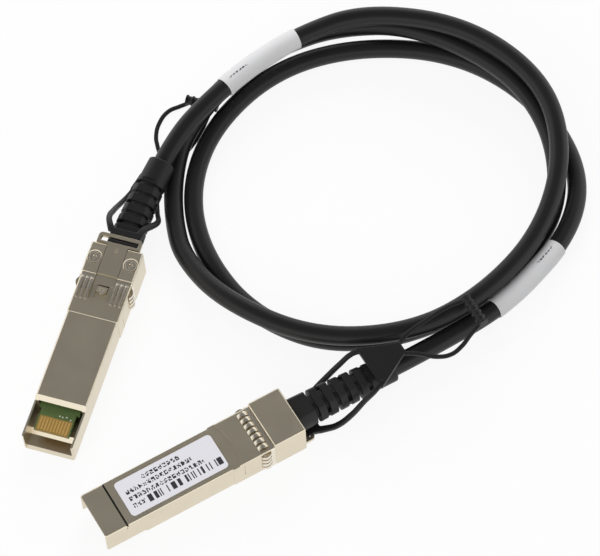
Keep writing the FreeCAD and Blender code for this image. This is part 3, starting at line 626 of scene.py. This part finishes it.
cornerGroove += [block("groove", (labelField["start"] - 0.02, low, labelField["sideGrooveLow"]),
                       (labelField["start"] + labelField["sideGrooveWidth"], high, 9.0))
                 for low, high in ((-7.5, -6.5), (6.5, 7.5))]
pocket = evenBlock("pocket", labelField["pocket"][0], labelField["pocket"][1], labelField["pocket"][2],
                   labelField["pocketLevel"], 9)
roundEdges(pocket, runsAlong("z"), labelField["corner"], 6)
carve(coverShell, innerSpaces() + [wide, field, pocket, lead] + cornerGroove)
combine(coverShell, ramp, "UNION")
cleanEdges(coverShell, shell["softness"])
# the groove's faces get a near-black finish of their own on both covers: painted shade standing for the
# shadow inside the groove
grooveShadeFaces = [face.index for face in coverShell.data.polygons
             if labelField["start"] - 0.03 < face.center.x / mm < labelField["start"] + 0.51 and
             (7.8 < face.center.z / mm < 8.27 or abs(face.center.y / mm) > 6.85)]
fitToPlugs(coverShell, "cover_shell", rootBody, castMetal)
for end in plugFrames:
    shellMesh = bpy.data.objects["CoverShell" + end.upper()].data
    shellMesh.materials.append(grooveDirt)
    for index in grooveShadeFaces:
        shellMesh.polygons[index].material_index = 1

# the label in the cover's pocket
label = {"low": 8.13, "thickness": 0.1, "start": 8.4, "end": 35.6, "half": 5.2, "corner": 1.0}
labelPiece = evenBlock("Label", label["start"], label["end"], label["half"], label["low"],
                       label["low"] + label["thickness"])
roundEdges(labelPiece, runsAlong("z"), label["corner"], 8)
layer = labelPiece.data.uv_layers.active or labelPiece.data.uv_layers.new(name="UVMap")
labelMiddle = (label["start"] + label["end"]) / 2
for loop in labelPiece.data.loops:
    # the pattern's own millimetres from the label's middle
    spot = labelPiece.data.vertices[loop.vertex_index].co / mm
    layer.data[loop.index].uv = (spot.x - labelMiddle, spot.y)
smooth(labelPiece)


def printedFinish(name, paper, ink, rows, bars, cell=0.3):
    # pale stock with rows of meaningless marks and plain bars, all in the UV map's millimetres
    finish, sheet = newFinish(name)
    spots = sheet.places("UV")
    along = sheet.add("ShaderNodeSeparateXYZ", {}, {0: spots}, 0)
    across = sheet.add("ShaderNodeSeparateXYZ", {}, {0: spots}, 1)
    mark = None
    for height, start, end, thickness, letter in rows:
        row = ((across - height).size() < thickness / 2) & (along > start) & (along < end)
        column = ((along - start) / cell).whole()
        line = ((across - height) / cell).whole()
        chance = sheet.add("ShaderNodeTexWhiteNoise", {"noise_dimensions": "1D"},
                           {"W": column + line * 61.0 + height * 7.0}, 0)
        row = row & (chance > 0.36) & (((along - start) % letter) > letter * 0.24)
        mark = row if mark is None else mark | row
    for low, high, start, end, pitch in bars:
        chance = sheet.add("ShaderNodeTexWhiteNoise", {"noise_dimensions": "1D"},
                           {"W": ((along - start) / pitch).whole() + 7.0}, 0)
        bar = (across > low) & (across < high) & (along > start) & (along < end) & (chance > 0.45)
        mark = bar if mark is None else mark | bar
    fibre = sheet.noise(1500.0, 3.0, 0.6)
    stock = sheet.blend(fibre, [channel * 0.97 for channel in paper], paper)
    sheet.shaded({"Base Color": sheet.blend(mark, stock, ink), "Roughness": 0.42 + fibre * 0.1,
                  "Coat Weight": 0.1},
                 [(fibre, 0.002)])
    return finish


labelFinish = printedFinish(
    "labelPaper", (0.80, 0.79, 0.84), (0.03, 0.03, 0.035),
    [(3.4, -6.9, 4.0, 1.2, 1.2), (1.4, -12.3, 6.4, 1.2, 1.2), (-0.6, -12.3, 8.8, 1.2, 1.2),
     (-2.7, -12.3, -8.7, 1.2, 1.2)],
    [(-3.8, -1.7, -7.9, 12.9, 0.3)])
fitToPlugs(labelPiece, "label_plate", rootBody, labelFinish)
print("shells and labels done")

# the collar of spring fingers in front of the block
finger = {"count": 7, "pitch": 1.72, "tip": 43.9, "width": 1.25, "rise": 0.6, "stem": 0.8, "swell": 0.8}
collar = {"start": 46.4, "end": 47.4, "sheet": 0.2, "root": 46.5, "gapHalf": 2.95,
          "label": finger, "side": dict(finger, count=4),
          "latch": {"count": 3, "pitch": 1.22, "tip": 40.2, "width": 0.95, "rise": 0.19, "stem": 0.55,
                    "swell": 0.3}}


def bowedFinger(name, values):
    # a strip from root to tip that bows away from the face and touches it again, its tip turned up
    length = collar["root"] - values["tip"]
    clearSelection()
    bpy.ops.mesh.primitive_grid_add(x_subdivisions=32, y_subdivisions=1, size=1, location=(0.5, 0, 0))
    strip = settle(bpy.context.object, name)
    for point in strip.data.vertices:
        share = point.co.x
        widen = min(max((share - 0.35) / 0.2, 0.0), 1.0)
        narrow = values["stem"] + (1 - values["stem"]) * widen
        bow = math.sin(share / 0.94 * math.pi) ** values["swell"] if share < 0.94 else 0.0
        lift = max(0.0, 0.1 - share) * 1.2 * values["rise"]
        point.co = Vector((values["tip"] + share * length, point.co.y * values["width"] * narrow,
                           bow * values["rise"] + lift + 0.02)) * mm
    useModifier(strip, "SOLIDIFY", thickness=collar["sheet"] * mm, offset=1.0)
    useModifier(strip, "BEVEL", width=0.05 * mm, segments=2, limit_method="ANGLE",
                angle_limit=math.radians(40))
    return strip


def collarBand():
    band = evenBlock("Collar", collar["start"], collar["end"], shell["bodyHalf"], 0, shell["bodyHigh"])
    roundEdges(band, runsAlong("x"), 0.5, 4)
    pick(band, "FACE", lambda face: abs(face.normal.x) > 0.9)
    bpy.ops.mesh.delete(type="FACE")
    bpy.ops.object.mode_set(mode="OBJECT")
    useModifier(band, "SOLIDIFY", thickness=collar["sheet"] * mm, offset=1.0)
    return carve(band, [evenBlock("gap", collar["start"] - 1, collar["end"] + 1, collar["gapHalf"], -1, 1)])


def collarPiece():
    parts = [collarBand()]
    half, high = shell["bodyHalf"], shell["bodyHigh"]
    faces = {"label": (Matrix.Identity(4), (0, 0, high)),
             "latch": (Matrix.Rotation(math.pi, 4, "X"), (0, 0, 0)),
             "left": (Matrix.Rotation(-math.pi / 2, 4, "X"), (0, half, high / 2)),
             "right": (Matrix.Rotation(math.pi / 2, 4, "X"), (0, -half, high / 2))}
    for face, (turn, shift) in faces.items():
        values = collar["side"] if face in ("left", "right") else collar[face]
        model = bowedFinger("finger", values)
        count = values["count"]
        places = [(index - (count - 1) / 2) * values["pitch"] for index in range(count)]
        if face == "latch":
            first = collar["gapHalf"] + values["width"] / 2
            places = [side * (first + index * values["pitch"]) for index in range(count) for side in (-1, 1)]
        for place in places:
            across = (0, 0, place) if face in ("left", "right") else (0, place, 0)
            parts.append(twinOf(model, [a + b for a, b in zip(shift, across)], turn))
        bpy.data.objects.remove(model)
    return smooth(joinAll("Collar", parts))


fitToPlugs(collarPiece(), "finger_collar", rootBody, springMetal)
print("collars done")

# the two screws beside the slider
screw = {"x": 52.2, "y": 4.85, "low": -0.3, "head": 0.7, "radius": 1.62, "shank": 0.8, "reach": 7.6,
         "crossLength": 1.9, "crossWidth": 0.42, "crossDepth": 0.5}


def screwPiece(side):
    y = side * screw["y"]
    head = rod("Screws", (screw["x"], y, screw["low"] + screw["head"]), (screw["x"], y, screw["low"]),
               screw["radius"])
    roundEdges(head, lambda edge: middleOf(edge).z < screw["low"] + 0.01, 0.3, 4)
    longSide, shortSide = screw["crossLength"], screw["crossWidth"]
    cross = [block("cross", (screw["x"] - a / 2, y - b / 2, screw["low"] - 1),
                   (screw["x"] + a / 2, y + b / 2, screw["low"] + screw["crossDepth"]))
             for a, b in ((longSide, shortSide), (shortSide, longSide))]
    cone = rod("cone", (screw["x"], y, screw["low"] - 0.01),
               (screw["x"], y, screw["low"] + screw["crossDepth"] + 0.1), 0.55, 0.1, 32)
    carve(head, cross + [cone])
    cleanEdges(head, 0.04)
    shank = rod("shank", (screw["x"], y, screw["low"] + screw["head"] - 0.05),
                (screw["x"], y, screw["reach"]), screw["shank"], sides=32)
    return smooth(joinAll("Screws", [head, shank]))


fitToPlugs(joinAll("Screws", [screwPiece(-1), screwPiece(1)]), "screws", rootBody, screwMetal)
print("screws done")

# the latch slider with its stirrup ring, wings and tines
slider = {"stripStart": 45.0, "stripHalf": 2.75, "low": -0.35, "high": 0.65, "ringStart": 56.6,
          "ringEnd": 59.7, "ringHalf": 5.85, "windowStart": 57.3, "endBar": 1.05, "sideBar": 0.9,
          "wingStart": 48.1, "wingEnd": 50.1, "wingHalf": 3.9, "wingLow": 0.95, "wingHigh": 1.6,
          "tineTip": 40.9, "tineInner": 1.55}


def sliderPiece():
    ring = evenBlock("Slider", slider["ringStart"], slider["ringEnd"], slider["ringHalf"], slider["low"],
                     slider["high"])
    roundEdges(ring, lambda edge: abs(runOf(edge).z) > 0.9 and middleOf(edge).x > slider["ringStart"] + 1,
               1.1, 5)
    window = block("window", (slider["windowStart"], slider["sideBar"] - slider["ringHalf"], -2),
                   (slider["ringEnd"] - slider["endBar"], slider["ringHalf"] - slider["sideBar"], 2))
    roundEdges(window, runsAlong("z"), 0.3, 3)
    carve(ring, [window])
    strip = evenBlock("strip", slider["wingStart"] - 0.2, slider["ringStart"] + 0.1, slider["stripHalf"],
                      slider["low"], slider["high"])
    neck = evenBlock("neck", slider["stripStart"], slider["wingStart"], slider["stripHalf"], 0.05,
                     slider["high"])
    wings = evenBlock("wings", slider["wingStart"], slider["wingEnd"], slider["wingHalf"], slider["wingLow"],
                      slider["wingHigh"])
    web = evenBlock("web", slider["wingStart"], slider["wingEnd"], slider["stripHalf"], 0.4, 1.2)
    for part in (strip, neck, wings, web):
        combine(ring, part, "UNION")
    for side in (-1, 1):
        inner, outer = sorted((side * slider["tineInner"], side * slider["stripHalf"]))
        tine = block("tine", (slider["tineTip"], inner, 0.05),
                     (slider["stripStart"] + 0.1, outer, slider["high"]))
        shiftPoints(tine, lambda point: (point.co.x / mm < slider["tineTip"] + 0.1
                                         and point.co.z / mm < 0.1), (0, 0, 0.45))
        combine(ring, tine, "UNION")
    dimples = [rod("dimple", (x, 0, -1), (x, 0, slider["low"] + 0.15), 0.28, sides=24) for x in (55.0, 55.75)]
    carve(ring, dimples)
    return cleanEdges(ring, 0.09)


fitToPlugs(sliderPiece(), "latch_slider", "latch", latchMetal)
print("sliders done")

# the two springs behind the slider's wings; on the real plug they shorten as the slider is pulled, and here
# each plug's pair only gets a mesh of its own
coil = {"start": 50.12, "end": 55.1, "middle": 3.475, "height": 1.2, "radius": 0.28, "wire": 0.1,
        "turns": 13, "travel": 2.5}


def springPair():
    pair = []
    for side in (-1, 1):
        clearSelection()
        bpy.ops.mesh.primitive_circle_add(vertices=8, radius=coil["wire"] * mm, rotation=(math.pi / 2, 0, 0),
                                          location=(coil["radius"] * mm, 0, coil["wire"] * mm))
        spring = settle(bpy.context.object, "Spring")
        pitch = (coil["end"] - coil["start"] - 2 * coil["wire"]) / coil["turns"]
        useModifier(spring, "SCREW", axis="Z", angle=2 * math.pi, screw_offset=pitch * mm,
                    iterations=coil["turns"], steps=20, render_steps=20)
        pick(spring, "VERT", lambda point: True)
        bpy.ops.mesh.fill_holes(sides=12)
        bpy.ops.mesh.normals_make_consistent(inside=False)
        bpy.ops.object.mode_set(mode="OBJECT")
        spring.rotation_euler = (0, math.pi / 2, 0)
        spring.location = Vector((coil["start"], side * coil["middle"], coil["height"])) * mm
        pair.append(settle(spring, "Springs"))
    return smooth(joinAll("Springs", pair), 50)


fitToPlugs(springPair(), "return_springs", rootBody, bareSteel)
for end, place in plugFrames.items():
    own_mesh(bpy.data.objects["Springs" + end.upper()], "latch_" + end + "_pull",
              axis=tuple(place.to_3x3() @ Vector((1, 0, 0))),
              anchor=tuple(place @ (Vector((coil["end"], 0, coil["height"])) * mm)),
              keep=1 - (coil["travel"] + 0.05) / (coil["end"] - coil["start"]))
print("springs done")


# the strain-relief boots
boot = {"rear": 56.5, "axis": 5.2, "length": 28.5, "rootRadius": 4.6, "tipRadius": 3.85, "flat": 3.4,
        "core": 2.95,
        "cuffLength": 6.2, "cuffRadius": 3.75, "cuffEnd": 3.6, "firstGroove": 4.9, "pitch": 3.05,
        "groove": 1.1,
        "grooves": 6, "web": 1.4, "webInset": 0.25, "neck": 3.5, "neckStart": 53.4, "bore": 2.53,
        "softness": 0.24,
        "bends": {"a": (2.45, -1.95), "b": (-0.75, 0.0)}}


def straightBoot():
    axis = boot["axis"]

    def along(first, last, radius, tip=None):
        return rod("part", (boot["rear"] + first, 0, axis), (boot["rear"] + last, 0, axis), radius, tip)

    def radiusAt(distance):
        return (boot["rootRadius"] + (boot["tipRadius"] - boot["rootRadius"]) * distance
                / (boot["length"] - boot["cuffLength"]))

    whole = along(boot["neckStart"] - boot["rear"], boot["length"] - 1.0, boot["core"])
    whole.name = "Boot"
    combine(whole, along(boot["neckStart"] - boot["rear"], 0.2, boot["neck"]), "UNION")
    begin = 0.0
    for index in range(boot["grooves"] + 1):
        last = index == boot["grooves"]
        end = boot["length"] - boot["cuffLength"] if last else boot["firstGroove"] + index * boot["pitch"]
        rib = along(begin, end, radiusAt(begin), radiusAt(end))
        combine(rib, evenBlock("flats", boot["rear"] + begin - 1, boot["rear"] + end + 1, 6,
                               axis - boot["flat"], axis + boot["flat"]), "INTERSECT")
        combine(whole, rib, "UNION")
        if not last:
            reach = boot["flat"] - boot["webInset"] if index % 2 == 0 else radiusAt(end) - boot["webInset"]
            sides = (boot["web"] / 2, reach) if index % 2 == 0 else (reach, boot["web"] / 2)
            combine(whole, evenBlock("web", boot["rear"] + end - 0.3,
                                     boot["rear"] + end + boot["groove"] + 0.3, sides[0], axis - sides[1],
                                     axis + sides[1]),
                    "UNION")
        begin = end + boot["groove"]
    cuff = along(boot["length"] - boot["cuffLength"], boot["length"], boot["cuffRadius"], boot["cuffEnd"])
    roundEdges(cuff, lambda edge: middleOf(edge).x > boot["rear"] + boot["length"] - 0.1, 0.55, 4)
    combine(whole, cuff, "UNION")
    carve(whole, [along(boot["neckStart"] - boot["rear"] - 1, boot["length"] + 1, boot["bore"])])
    return cleanEdges(whole, boot["softness"], 3)


def bent(piece, bend):
    # moves the boot's points onto an even bend that starts at the block
    aside = Vector((0, bend[0], bend[1]))
    turn = 2 * aside.length / boot["length"]
    radius = boot["length"] / turn
    hinge = Vector((1, 0, 0)).cross(aside).normalized()
    aside.normalize()
    for point in piece.data.vertices:
        spot = point.co / mm
        distance = spot.x - boot["rear"]
        angle = max(distance, 0.0) / radius
        centre = Vector((boot["rear"] + min(distance, 0.0) + radius * math.sin(angle), 0, boot["axis"]))
        centre += aside * (radius * (1 - math.cos(angle)))
        ring = Matrix.Rotation(angle, 3, hinge) @ Vector((0, spot.y, spot.z - boot["axis"]))
        point.co = (centre + ring) * mm
    return piece


bootModel = straightBoot()
for end, place in plugFrames.items():
    twin = bent(twinOf(bootModel), boot["bends"][end])
    twin.matrix_world = place
    settle(twin, "Boot" + end.upper())
    dress(smooth(twin), "strain_boot_" + end, rootBody, bootBlack)
bpy.data.objects.remove(bootModel)
print("boots done")

# the pull tabs: the same moulding, lying differently at each plug
tab = {"rear": 56.5, "arm": (1.9, 1.3), "armEnd": 1.2, "strand": (1.15, 0.8), "thickness": 1.3,
       "hookStart": 0.95, "hookEnd": 1.9, "hookHalf": 4.0, "overBar": 0.8, "ring": 3.2, "baseEnd": 5.4,
       "gripX": 52.5, "gripLength": 8.8, "gripRadius": 1.15, "ribRadius": 1.42, "ribs": 6, "ribWidth": 0.55,
       "voxel": 0.13}
tabShapes = {
    "a": {"slip": 0.85,
          "side": [(0.95, 0.75), (7.1, 0.75), (18.0, 9.95), (27.0, 9.95), (32.5, 11.35), (55.0, 12.2)],
          "arms": [[(4.8, 3.95), (6.4, 4.25), (8.0, 4.95), (9.5, 5.75), (11.5, 6.3), (13.0, 6.15),
                    (14.5, 5.45), (16.0, 4.7), (17.5, 4.1), (19.5, 3.3), (23.0, 2.1)],
                   [(4.8, -3.4), (6.4, -4.4), (9.0, -5.6), (12.5, -5.95), (16.0, -5.75), (19.5, -4.9),
                    (23.0, -3.8)]],
          "plate": [(22.0, -4.9), (27.0, -3.8), (32.0, -1.5), (32.0, 1.5), (28.5, 1.8), (25.0, 2.3),
                    (22.0, 3.5)],
          "loop": [[(30.5, -0.9), (34.8, -1.2), (37.1, -2.5), (39.8, -3.8), (44.2, -4.3), (48.3, -3.1),
                    (50.5, -0.8), (52.4, 1.4)],
                   [(30.5, 0.9), (33.5, 2.6), (36.5, 4.8), (40.6, 6.4), (45.4, 7.2), (49.0, 7.4),
                    (52.5, 7.5)]],
          "grip": (4.9, 11.05)},
    "b": {"slip": -0.85,
          "side": [(0.95, 0.75), (8.5, 0.75), (21.0, 10.35), (29.5, 10.45), (35.5, 11.9), (55.0, 12.25)],
          "arms": [[(4.8, 3.95), (6.4, 4.5), (9.0, 5.4), (13.0, 5.8), (17.0, 5.8), (20.5, 5.7), (23.0, 4.9)],
                   [(4.8, -4.5), (6.4, -5.1), (9.0, -6.1), (13.0, -6.65), (17.0, -6.4), (20.5, -6.2),
                    (23.0, -5.3)]],
          "plate": [(22.0, -6.8), (26.5, -4.4), (32.0, -1.5), (32.0, 1.5), (26.5, 3.9), (22.0, 6.3)],
          "loop": [[(30.5, 0.9), (35.0, 2.5), (40.5, 3.1), (46.5, 3.6), (52.5, 3.0)],
                   [(30.5, -0.9), (34.0, -3.6), (37.8, -7.2), (41.0, -8.4), (44.5, -7.8), (48.0, -6.2),
                    (52.5, -4.4)]],
          "grip": (-0.8, 12.25)},
}


def heightOn(side, x):
    # the side view's height at x, its corners eased
    for (x0, z0), (x1, z1) in zip(side, side[1:]):
        if x <= x1 or (x1, z1) == side[-1]:
            height = z0 + (z1 - z0) * (x - x0) / (x1 - x0)
            break
    for (x0, z0), (xc, zc), (x1, z1) in zip(side, side[1:], side[2:]):
        ease = 0.4 * min(xc - x0, x1 - xc)
        if abs(x - xc) < ease:
            first = (zc - z0) / (xc - x0)
            second = (z1 - zc) / (x1 - xc)
            height = zc + first * (x - xc) + (second - first) * (x - xc + ease) ** 2 / (4 * ease)
    return height


def strapAlong(name, points, width, thickness, endWidth=None):
    # a soft strap through the points: a ring of rounded section at each of them, all lofted
    clearSelection()
    bpy.ops.curve.primitive_bezier_curve_add()
    path = bpy.context.object
    spline = path.data.splines[0]
    spline.bezier_points.add(len(points) - len(spline.bezier_points))
    for knot, spot in zip(spline.bezier_points, points):
        knot.co = Vector(spot) * mm
        knot.handle_left_type = knot.handle_right_type = "AUTO"
    path.data.resolution_u = 8
    takeUp(path)
    bpy.ops.object.convert(target="MESH")
    line = [vertex.co.copy() for vertex in bpy.context.object.data.vertices]
    bpy.data.objects.remove(bpy.context.object)
    sides = 20
    shape = bmesh.new()
    rings = []
    for index, centre in enumerate(line):
        ahead = (line[min(index + 1, len(line) - 1)] - line[max(index - 1, 0)]).normalized()
        across = Vector((0, 0, 1)).cross(ahead).normalized()
        up = ahead.cross(across)
        left = 1 - index / (len(line) - 1)
        wide = width if endWidth is None else endWidth + (width - endWidth) * left ** 2
        ring = []
        for step in range(sides):
            angle = 2 * math.pi * step / sides
            reach = [math.copysign(abs(value) ** 0.5, value) for value in (math.cos(angle), math.sin(angle))]
            ring.append(shape.verts.new(centre + (across * reach[0] * wide
                                                  + up * reach[1] * thickness) / 2 * mm))
        rings.append(ring)
    for before, after in zip(rings, rings[1:]):
        for step in range(sides):
            follow = (step + 1) % sides
            shape.faces.new((before[step], before[follow], after[follow], after[step]))
    shape.faces.new(rings[0])
    shape.faces.new(rings[-1])
    return pieceOf(name, shape)


def slabOver(name, outline, side, thickness):
    # a flat web of the outline's shape, at the strap's height
    clearSelection()
    bpy.ops.mesh.primitive_circle_add(vertices=len(outline), radius=mm, fill_type="NGON")
    slab = bpy.context.object
    slab.name = name
    for point, (x, y) in zip(slab.data.vertices, outline):
        point.co = Vector((tab["rear"] + x, y, heightOn(side, x) - thickness / 2)) * mm
    pick(slab, "FACE", lambda face: True)
    bpy.ops.mesh.extrude_region_move(TRANSFORM_OT_translate={"value": (0, 0, thickness * mm)})
    bpy.ops.mesh.select_all(action="SELECT")
    bpy.ops.mesh.normals_make_consistent(inside=False)
    bpy.ops.object.mode_set(mode="OBJECT")
    return slab


def tabPiece(end):
    shape = tabShapes[end]
    side = shape["side"]
    rear = tab["rear"]
    top = side[0][1] + tab["thickness"] / 2
    low = side[0][1] - tab["thickness"] / 2
    near = shape["slip"] - tab["hookHalf"]
    far = shape["slip"] + tab["hookHalf"]
    farBase, nearBase = [arm[0][1] + math.copysign(tab["arm"][0] / 2, arm[0][1]) for arm in shape["arms"]]
    parts = [block("PullTab", (rear + tab["hookStart"], near, -0.25), (rear + tab["hookEnd"], far, top)),
             block("over", (rear + tab["hookEnd"] - 0.2, near, tab["overBar"]),
                   (rear + tab["ring"] + 0.3, far, top)),
             slabOver("base", [(tab["ring"] + 0.1, near), (tab["baseEnd"], nearBase),
                               (tab["baseEnd"], farBase), (tab["ring"] + 0.1, far)],
                      side, tab["thickness"]),
             slabOver("plate", shape["plate"], side, tab["thickness"])]
    for points in shape["arms"]:
        parts.append(strapAlong("arm", [(rear + x, y, heightOn(side, x)) for x, y in points], *tab["arm"],
                                tab["armEnd"]))
    for points in shape["loop"]:
        parts.append(strapAlong("strand", [(rear + x, y, heightOn(side, x)) for x, y in points],
                                *tab["strand"]))
    middle, height = shape["grip"]
    x = rear + tab["gripX"]
    near = middle - tab["gripLength"] / 2
    grip = rod("grip", (x, near, height), (x, near + tab["gripLength"], height), tab["gripRadius"], sides=40)
    parts.append(grip)
    for index in range(tab["ribs"]):
        y = near + index * (tab["gripLength"] - tab["ribWidth"]) / (tab["ribs"] - 1)
        parts.append(rod("rib", (x, y, height), (x, y + tab["ribWidth"], height), tab["ribRadius"], sides=40))
    whole = joinAll("PullTab", parts)
    useModifier(whole, "REMESH", mode="VOXEL", voxel_size=tab["voxel"] * mm)
    useModifier(whole, "SMOOTH", factor=0.5, iterations=5)
    return whole


for end, place in plugFrames.items():
    piece = tabPiece(end)
    piece.matrix_world = place
    settle(piece, "PullTab" + end.upper())
    dress(smooth(piece, 80), "pull_tab_" + end, "latch_" + end, tabBlack)
print("pull tabs done")

# the marker sleeves on the cable
sleeve = {"length": 24.5, "radius": 2.8, "bore": 2.52, "fromA": 27.0, "fromB": 31.0, "rings": 50,
          "sides": 48}


def placeOnCable(distance):
    # point and direction at a distance in millimetres from plug A's boot
    passed = 0.0
    for before, after in zip(cableLine, cableLine[1:]):
        step = (after - before).length / mm
        if passed + step >= distance:
            return before.lerp(after, (distance - passed) / step), (after - before).normalized()
        passed += step
    return cableLine[-1], (cableLine[-1] - cableLine[-2]).normalized()


lineLength = sum((b - a).length for a, b in zip(cableLine, cableLine[1:])) / mm
print("cable line", round(lineLength, 1), "mm")


def sleevePiece(name, start):
    # a film tube round the cable, its ends turned in; its UV map is in millimetres along and round it
    shape = bmesh.new()
    layer = shape.loops.layers.uv.new("UVMap")
    profile = [(0.02, sleeve["bore"]), (0.0, sleeve["radius"] - 0.12), (0.12, sleeve["radius"])]
    stations = list(profile)
    stations += [(0.12 + (sleeve["length"] - 0.24) * k / sleeve["rings"], sleeve["radius"])
                 for k in range(1, sleeve["rings"])]
    stations += [(sleeve["length"] - distance, radius) for distance, radius in reversed(profile)]
    rings = []
    for distance, radius in stations:
        centre, ahead = placeOnCable(start + distance)
        side = ahead.cross(Vector((0, 0, 1))).normalized()
        up = side.cross(ahead)
        ring = []
        for index in range(sleeve["sides"]):
            angle = 2 * math.pi * index / sleeve["sides"]
            wave = 0.02 * math.sin(3 * angle + distance * 0.5) * (radius > sleeve["radius"] - 0.01)
            ring.append(shape.verts.new(centre + (side * math.sin(angle) + up * math.cos(angle))
                                        * (radius + wave) * mm))
        rings.append(ring)
    for row, (first, second) in enumerate(zip(rings, rings[1:])):
        for index in range(sleeve["sides"]):
            after = (index + 1) % sleeve["sides"]
            face = shape.faces.new((first[index], first[after], second[after], second[index]))
            corners = ((row, index), (row, index + 1), (row + 1, index + 1), (row + 1, index))
            for loop, (station, turn) in zip(face.loops, corners):
                loop[layer].uv = (stations[station][0],
                                  turn / sleeve["sides"] * 2 * math.pi * sleeve["radius"])
    return smooth(pieceOf(name, shape), 40)


sleeveFilm = printedFinish("sleeveFilm", (0.72, 0.72, 0.73), (0.04, 0.04, 0.045),
                           [(0.0, 1.6, 8.0, 0.9, 1.1)], [])
for end, start in (("a", sleeve["fromA"]), ("b", lineLength - sleeve["fromB"] - sleeve["length"])):
    piece = sleevePiece("Sleeve" + end.upper(), start)
    dress(piece, "marker_sleeve_" + end, rootBody, sleeveFilm)
print("sleeves done")


# camera, floor and light
view = {"turn": 26.88, "elevation": 60.0, "roll": -3.7, "distance": 0.874,
        "target": (0.02641, -0.00873, 0.0), "lens": 203.9}
clearSelection()
bpy.ops.object.camera_add()
camera = bpy.context.object
turn = (Matrix.Rotation(math.radians(-view["turn"]), 4, "Z")
        @ Matrix.Rotation(math.radians(90 - view["elevation"]), 4, "X")
        @ Matrix.Rotation(math.radians(view["roll"]), 4, "Z"))
camera.matrix_world = (Matrix.Translation(Vector(view["target"])) @ turn
                       @ Matrix.Translation((0, 0, view["distance"])))
camera.data.lens = view["lens"]
camera.data.clip_start = 0.01
bpy.context.scene.camera = camera
bpy.context.scene.view_settings.view_transform = "Standard"

light = {"world": 0.5, "overhead": 0.20, "rim": (0.45, 0.72), "rimLevel": 1.35, "floor": (0.88, 0.88, 0.88),
         "floorGlow": 0.90,
         "key": {"place": (0.50, 0.60, 0.42), "size": 0.45, "power": 5.0},
         "fill": {"place": (-0.60, -0.35, 0.50), "size": 0.6, "power": 3.0}}


def rayKinds(sheet):
    # whether a ray comes from the camera, from a shiny surface or through glass
    return [sheet.add("ShaderNodeLightPath", output="Is " + kind + " Ray")
            for kind in ("Camera", "Glossy", "Transmission")]


clearSelection()
bpy.ops.mesh.primitive_plane_add(size=4.0, location=(0, 0, 0))
floor = settle(bpy.context.object, "Floor")
floorFinish, sheet = newFinish("floorWhite")
direct, glossy, clear = rayKinds(sheet)
seen = (direct | glossy) | clear
diffuse = sheet.add("ShaderNodeBsdfDiffuse", {}, {"Color": (*light["floor"], 1.0)})
glow = sheet.add("ShaderNodeEmission", {}, {"Color": (1, 1, 1, 1), "Strength": 1.0})
mixed = sheet.add("ShaderNodeMixShader", {}, {0: seen * light["floorGlow"], 1: diffuse, 2: glow})
sheet.add("ShaderNodeOutputMaterial", {}, {"Surface": mixed})
floor.data.materials.append(floorFinish)

world = bpy.data.worlds.new("studio")
world.use_nodes = True
bpy.context.scene.world = world
sheet = Sheet(world.node_tree)
direct, glossy, clear = rayKinds(sheet)
height = sheet.add("ShaderNodeSeparateXYZ", {}, {0: sheet.places("Generated")}, 2)
overhead = sheet.add("ShaderNodeMapRange", {}, {"Value": height, 1: light["rim"][0], 2: light["rim"][1],
                                                    3: light["rimLevel"], 4: light["overhead"]})
strength = (1.0 - glossy) * light["world"] + glossy * overhead
strength = direct + (1.0 - direct) * strength
sky = sheet.add("ShaderNodeBackground", {}, {"Color": (1, 1, 1, 1), "Strength": strength | clear})
sheet.add("ShaderNodeOutputWorld", {}, {"Surface": sky})
for name in ("key", "fill"):
    values = light[name]
    clearSelection()
    bpy.ops.object.light_add(type="AREA", location=values["place"])
    lamp = bpy.context.object
    lamp.name = name + "Lamp"
    lamp.data.size = values["size"]
    lamp.data.energy = values["power"]
    lamp.visible_glossy = False
    lamp.rotation_euler = (Vector((0.03, 0, 0)) - Vector(values["place"])).to_track_quat("-Z", "Y").to_euler()
print("camera and light set")
